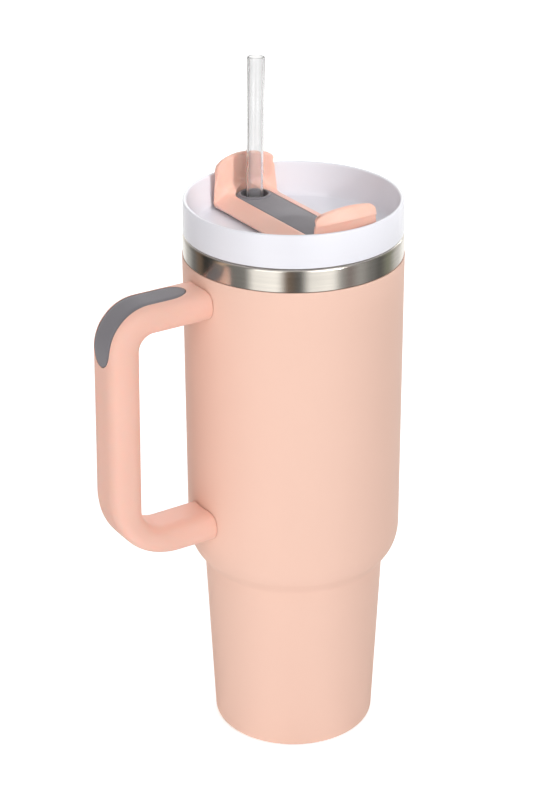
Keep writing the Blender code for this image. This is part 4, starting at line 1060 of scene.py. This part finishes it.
class TUMBLER_OT_straw(Operator):
    """Make the clear straw along its own sliding axis"""
    bl_idname = "tumbler.straw"
    bl_label = "Straw"

    def execute(self, context):
        sizes = context.scene.tumbler_straw
        cover = context.scene.tumbler_cover
        joints = {joint["name"]: joint for joint in frame["record"]["behaviour"]["joints"]}
        along = Vector(joints["straw_pull"]["axis"]).normalized()
        turn = Vector((0.0, 0.0, 1.0)).rotation_difference(along).to_matrix()
        through = np.array([0.0, cover.straw_pitch, cover.bar_top])
        tilt_low = sizes.radius * math.sqrt(1.0 - along.z ** 2)
        start = (STRAW_LOW[2] + tilt_low - through[2]) / along.z
        end = (STRAW_HIGH[2] - tilt_low - through[2]) / along.z
        inner = sizes.radius - sizes.wall
        tube = soften([(inner, start), (sizes.radius, start), (sizes.radius, end), (inner, end)],
                      0.3 * MM, 5, 10)
        rows = revolve(tube, 72) @ np.array(turn).T + through
        place("drinking_tube", rows, finish_named("clear_plastic"), "drinking_straw", ["straw"],
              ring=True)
        return {"FINISHED"}


# ---------------------------------------------------------------- studio

class TUMBLER_OT_stage(Operator):
    """Make the pale floor, the soft light and the camera"""
    bl_idname = "tumbler.stage"
    bl_label = "Studio"

    def execute(self, context):
        scene = context.scene
        scene.view_settings.view_transform = "Standard"
        scene.view_settings.look = "None"
        self.make_walls()
        self.make_floor(scene)
        self.make_world(scene)
        self.make_lights(scene)
        self.make_camera(scene)
        return {"FINISHED"}

    def make_floor(self, scene):
        """A wide flat disc just under the foot; bare steel sees the dark room past the paper in it."""
        profile = np.array([(0.0, -0.2 * MM), (6.0, -0.2 * MM), (6.0, -20.0 * MM), (0.0, -20.0 * MM)])
        mesh = make_mesh("studio_floor", revolve(profile, 96))
        floor = bpy.data.objects.new("studio_floor", mesh)
        scene.collection.objects.link(floor)
        paper, tree, shader, where = start_finish("pale_paper", Base_Color=(0.86, 0.86, 0.87, 1.0),
                                                  Roughness=0.9, Specular_IOR_Level=0.1,
                                                  Emission_Color=(1.0, 1.0, 1.0, 1.0))
        mesh.materials.append(paper)
        walls = tree.nodes.new("ShaderNodeGroup")
        walls.node_tree = bpy.data.node_groups["Studio walls"]
        tree.links.new(where.outputs["Object"], walls.inputs["Direction"])
        glow = add(tree, "ShaderNodeEmission", {"Strength": 1.0})
        tree.links.new(walls.outputs["Level"], glow.inputs["Color"])
        rays = add(tree, "ShaderNodeLightPath")
        seen = add(tree, "ShaderNodeMath", operation="MAXIMUM")
        tree.links.new(rays.outputs["Is Camera Ray"], seen.inputs[0])
        tree.links.new(rays.outputs["Is Transmission Ray"], seen.inputs[1])
        tree.links.new(spread(tree, seen.outputs[0], 0.2, 0.5, 0.0, 1.0), shader.inputs["Emission Strength"])
        mix = add(tree, "ShaderNodeMixShader")
        tree.links.new(rays.outputs["Is Glossy Ray"], mix.inputs[0])
        tree.links.new(shader.outputs[0], mix.inputs[1])
        tree.links.new(glow.outputs[0], mix.inputs[2])
        tree.links.new(mix.outputs[0], tree.nodes["Material Output"].inputs["Surface"])

    def make_walls(self):
        """Brightness of the room by direction: two soft boxes beside the camera, dim sides, a pale back."""
        group = bpy.data.node_groups.new("Studio walls", "ShaderNodeTree")
        group.interface.new_socket("Direction", in_out="INPUT", socket_type="NodeSocketVector")
        group.interface.new_socket("Level", in_out="OUTPUT", socket_type="NodeSocketColor")
        given = group.nodes.new("NodeGroupInput")
        result = group.nodes.new("NodeGroupOutput")
        turn = add(group, "ShaderNodeVectorRotate", {"Angle": math.radians(123.0)}, rotation_type="Z_AXIS")
        apart = add(group, "ShaderNodeSeparateXYZ")
        angle = add(group, "ShaderNodeMath", operation="ARCTAN2")
        share = add(group, "ShaderNodeMapRange", {"From Min": -math.pi, "From Max": math.pi})
        ramp = add(group, "ShaderNodeValToRGB")
        group.links.new(given.outputs[0], turn.inputs["Vector"])
        group.links.new(turn.outputs[0], apart.inputs[0])
        group.links.new(apart.outputs["Y"], angle.inputs[0])
        group.links.new(apart.outputs["X"], angle.inputs[1])
        group.links.new(angle.outputs[0], share.inputs["Value"])
        group.links.new(share.outputs["Result"], ramp.inputs[0])
        group.links.new(ramp.outputs[0], result.inputs[0])
        plain, rust, rose, olive = (1.0, 1.0, 0.98), (1.3, 0.96, 0.72), (1.12, 0.96, 0.93), (0.98, 1.02, 0.82)
        levels = ((-180, 1.15, plain), (-152, 1.1, plain), (-136, 0.6, plain), (-120, 0.2, plain),
                  (-110, 0.16, rust), (-99, 0.04, plain), (-88, 0.08, plain), (-75, 0.5, rust),
                  (-65, 0.24, plain), (-50, 0.26, plain), (-38, 1.25, plain), (-17, 1.4, plain),
                  (-5, 0.16, rust), (6, 0.14, plain), (18, 1.2, plain), (38, 1.35, plain),
                  (50, 0.42, plain), (57, 0.26, rose), (70, 0.46, plain), (86, 0.24, plain),
                  (97, 0.14, plain), (112, 0.3, olive), (130, 0.75, plain), (150, 1.15, plain),
                  (180, 1.15, plain))
        stops = ramp.color_ramp.elements
        ramp.color_ramp.interpolation = "EASE"
        while len(stops) < len(levels):
            stops.new(0.5)
        for stop, (degrees, level, tint) in zip(stops, levels):
            stop.position = (degrees + 180.0) / 360.0
            stop.color = (level * tint[0], level * tint[1], level * tint[2], 1.0)

    def make_world(self, scene):
        """The studio's walls low down, and a pale ceiling overhead."""
        world = bpy.data.worlds.new("studio")
        scene.world = world
        world.use_nodes = True
        tree = world.node_tree
        back = tree.nodes["Background"]
        where = add(tree, "ShaderNodeTexCoord")
        walls = tree.nodes.new("ShaderNodeGroup")
        walls.node_tree = bpy.data.node_groups["Studio walls"]
        apart = add(tree, "ShaderNodeSeparateXYZ")
        up = add(tree, "ShaderNodeMapRange", {"From Min": 0.35, "From Max": 0.8},
                 interpolation_type="SMOOTHSTEP")
        mix = add(tree, "ShaderNodeMix", data_type="RGBA")
        mix.inputs["B"].default_value = (0.48, 0.48, 0.48, 1.0)
        tree.links.new(where.outputs["Generated"], walls.inputs[0])
        tree.links.new(where.outputs["Generated"], apart.inputs[0])
        tree.links.new(apart.outputs["Z"], up.inputs["Value"])
        tree.links.new(up.outputs["Result"], mix.inputs["Factor"])
        tree.links.new(walls.outputs[0], mix.inputs["A"])
        rays = add(tree, "ShaderNodeLightPath")
        plain = add(tree, "ShaderNodeMix", data_type="RGBA")
        plain.inputs["B"].default_value = (1.0, 1.0, 1.0, 1.0)
        tree.links.new(rays.outputs["Is Camera Ray"], plain.inputs["Factor"])
        tree.links.new(mix.outputs["Result"], plain.inputs["A"])
        tree.links.new(plain.outputs["Result"], back.inputs["Color"])

    def make_lights(self, scene):
        """Soft boxes beside and above the camera, a back light, a low side light and a spot on the lid."""
        boxes = (("left_box", (-1.05, -0.65, 0.9), (0.7, 0.9), 1.6),
                 ("right_box", (0.0, -1.2, 0.9), (0.7, 0.9), 2.6),
                 ("high_front", (0.1, -1.1, 1.3), (0.8, 0.8), 1.7),
                 ("overhead", (0.0, 0.0, 1.6), (1.2, 1.2), 1.5),
                 ("back_light", (0.5, 1.1, 0.9), (0.9, 0.7), 3.6),
                 ("low_left", (-0.75, -0.2, 0.04), (0.5, 0.1), 0.8),
                 ("edge_strip", (1.0, 0.25, 0.55), (0.06, 0.7), 0.4))
        for name, spot, size, power in boxes:
            light = bpy.data.lights.new(name, "AREA")
            light.shape = "RECTANGLE"
            light.size, light.size_y = size
            light.energy = power
            self.aim(scene, light, spot, (0.0, 0.0, 0.15))
        light = bpy.data.lights.new("lid_spot", "SPOT")
        light.energy = 85.0
        light.spot_size = math.radians(3.8)
        light.spot_blend = 1.0
        light.shadow_soft_size = 0.05
        self.aim(scene, light, (0.35, -1.2, 0.75), (0.0, 0.045, 0.272))

    def aim(self, scene, light, spot, target):
        """Hang a light and turn it to a point; the low one is kept out of the steel's reflections."""
        lamp = bpy.data.objects.new(light.name, light)
        lamp.location = spot
        lamp.rotation_euler = (Vector(target) - Vector(spot)).to_track_quat("-Z", "Y").to_euler()
        lamp.visible_glossy = light.name != "low_left"
        scene.collection.objects.link(lamp)

    def make_camera(self, scene):
        """A long lens a little above the lid, to the front left."""
        turn = math.radians(33.0)
        camera = bpy.data.cameras.new("camera")
        camera.lens = 92.8
        camera.sensor_width = 36.0
        camera.shift_x = -0.0337
        camera.clip_start = 0.02
        item = bpy.data.objects.new("camera", camera)
        item.location = (-0.8568 * math.sin(turn), -0.8568 * math.cos(turn), 0.5717)
        item.rotation_euler = (math.radians(90.0 - 25.41), 0.0, -turn)
        scene.collection.objects.link(item)
        scene.camera = item


# ---------------------------------------------------------------- panel and registration

class TUMBLER_PT_panel(Panel):
    """Sizes, colours and steps of the tumbler"""
    bl_idname = "TUMBLER_PT_panel"
    bl_label = "Insulated tumbler"
    bl_space_type = "VIEW_3D"
    bl_region_type = "UI"
    bl_category = "Tumbler"

    def draw(self, context):
        layout = self.layout
        for step in STEPS:
            layout.operator(step.bl_idname)
        for name in SETTINGS:
            group = getattr(context.scene, name)
            box = layout.box()
            box.label(text=group.bl_rna.description)
            for key in group.bl_rna.properties.keys():
                if key not in ("name", "rna_type"):
                    box.prop(group, key)


SETTINGS = {"tumbler_vessel": TumblerVesselSizes, "tumbler_handle": TumblerHandleSizes,
            "tumbler_lid": TumblerLidSizes, "tumbler_cover": TumblerCoverSizes,
            "tumbler_straw": TumblerStrawSizes, "tumbler_finishes": TumblerFinishes}
STEPS = (TUMBLER_OT_finishes, TUMBLER_OT_vessel, TUMBLER_OT_handle, TUMBLER_OT_lid, TUMBLER_OT_cover,
         TUMBLER_OT_straw, TUMBLER_OT_stage)


def register():
    """Register the settings, the operators and the panel."""
    for name, group in SETTINGS.items():
        bpy.utils.register_class(group)
        setattr(bpy.types.Scene, name, PointerProperty(type=group))
    for step in (*STEPS, TUMBLER_PT_panel):
        bpy.utils.register_class(step)


def unregister():
    """Remove what register added."""
    for step in (TUMBLER_PT_panel, *reversed(STEPS)):
        bpy.utils.unregister_class(step)
    for name, group in SETTINGS.items():
        delattr(bpy.types.Scene, name)
        bpy.utils.unregister_class(group)


def main():
    """Build every piece in order."""
    register()
    bpy.ops.tumbler.finishes()
    bpy.ops.tumbler.vessel()
    bpy.ops.tumbler.handle()
    bpy.ops.tumbler.lid()
    bpy.ops.tumbler.cover()
    bpy.ops.tumbler.straw()
    bpy.ops.tumbler.stage()


if __name__ == "__main__":
    main()
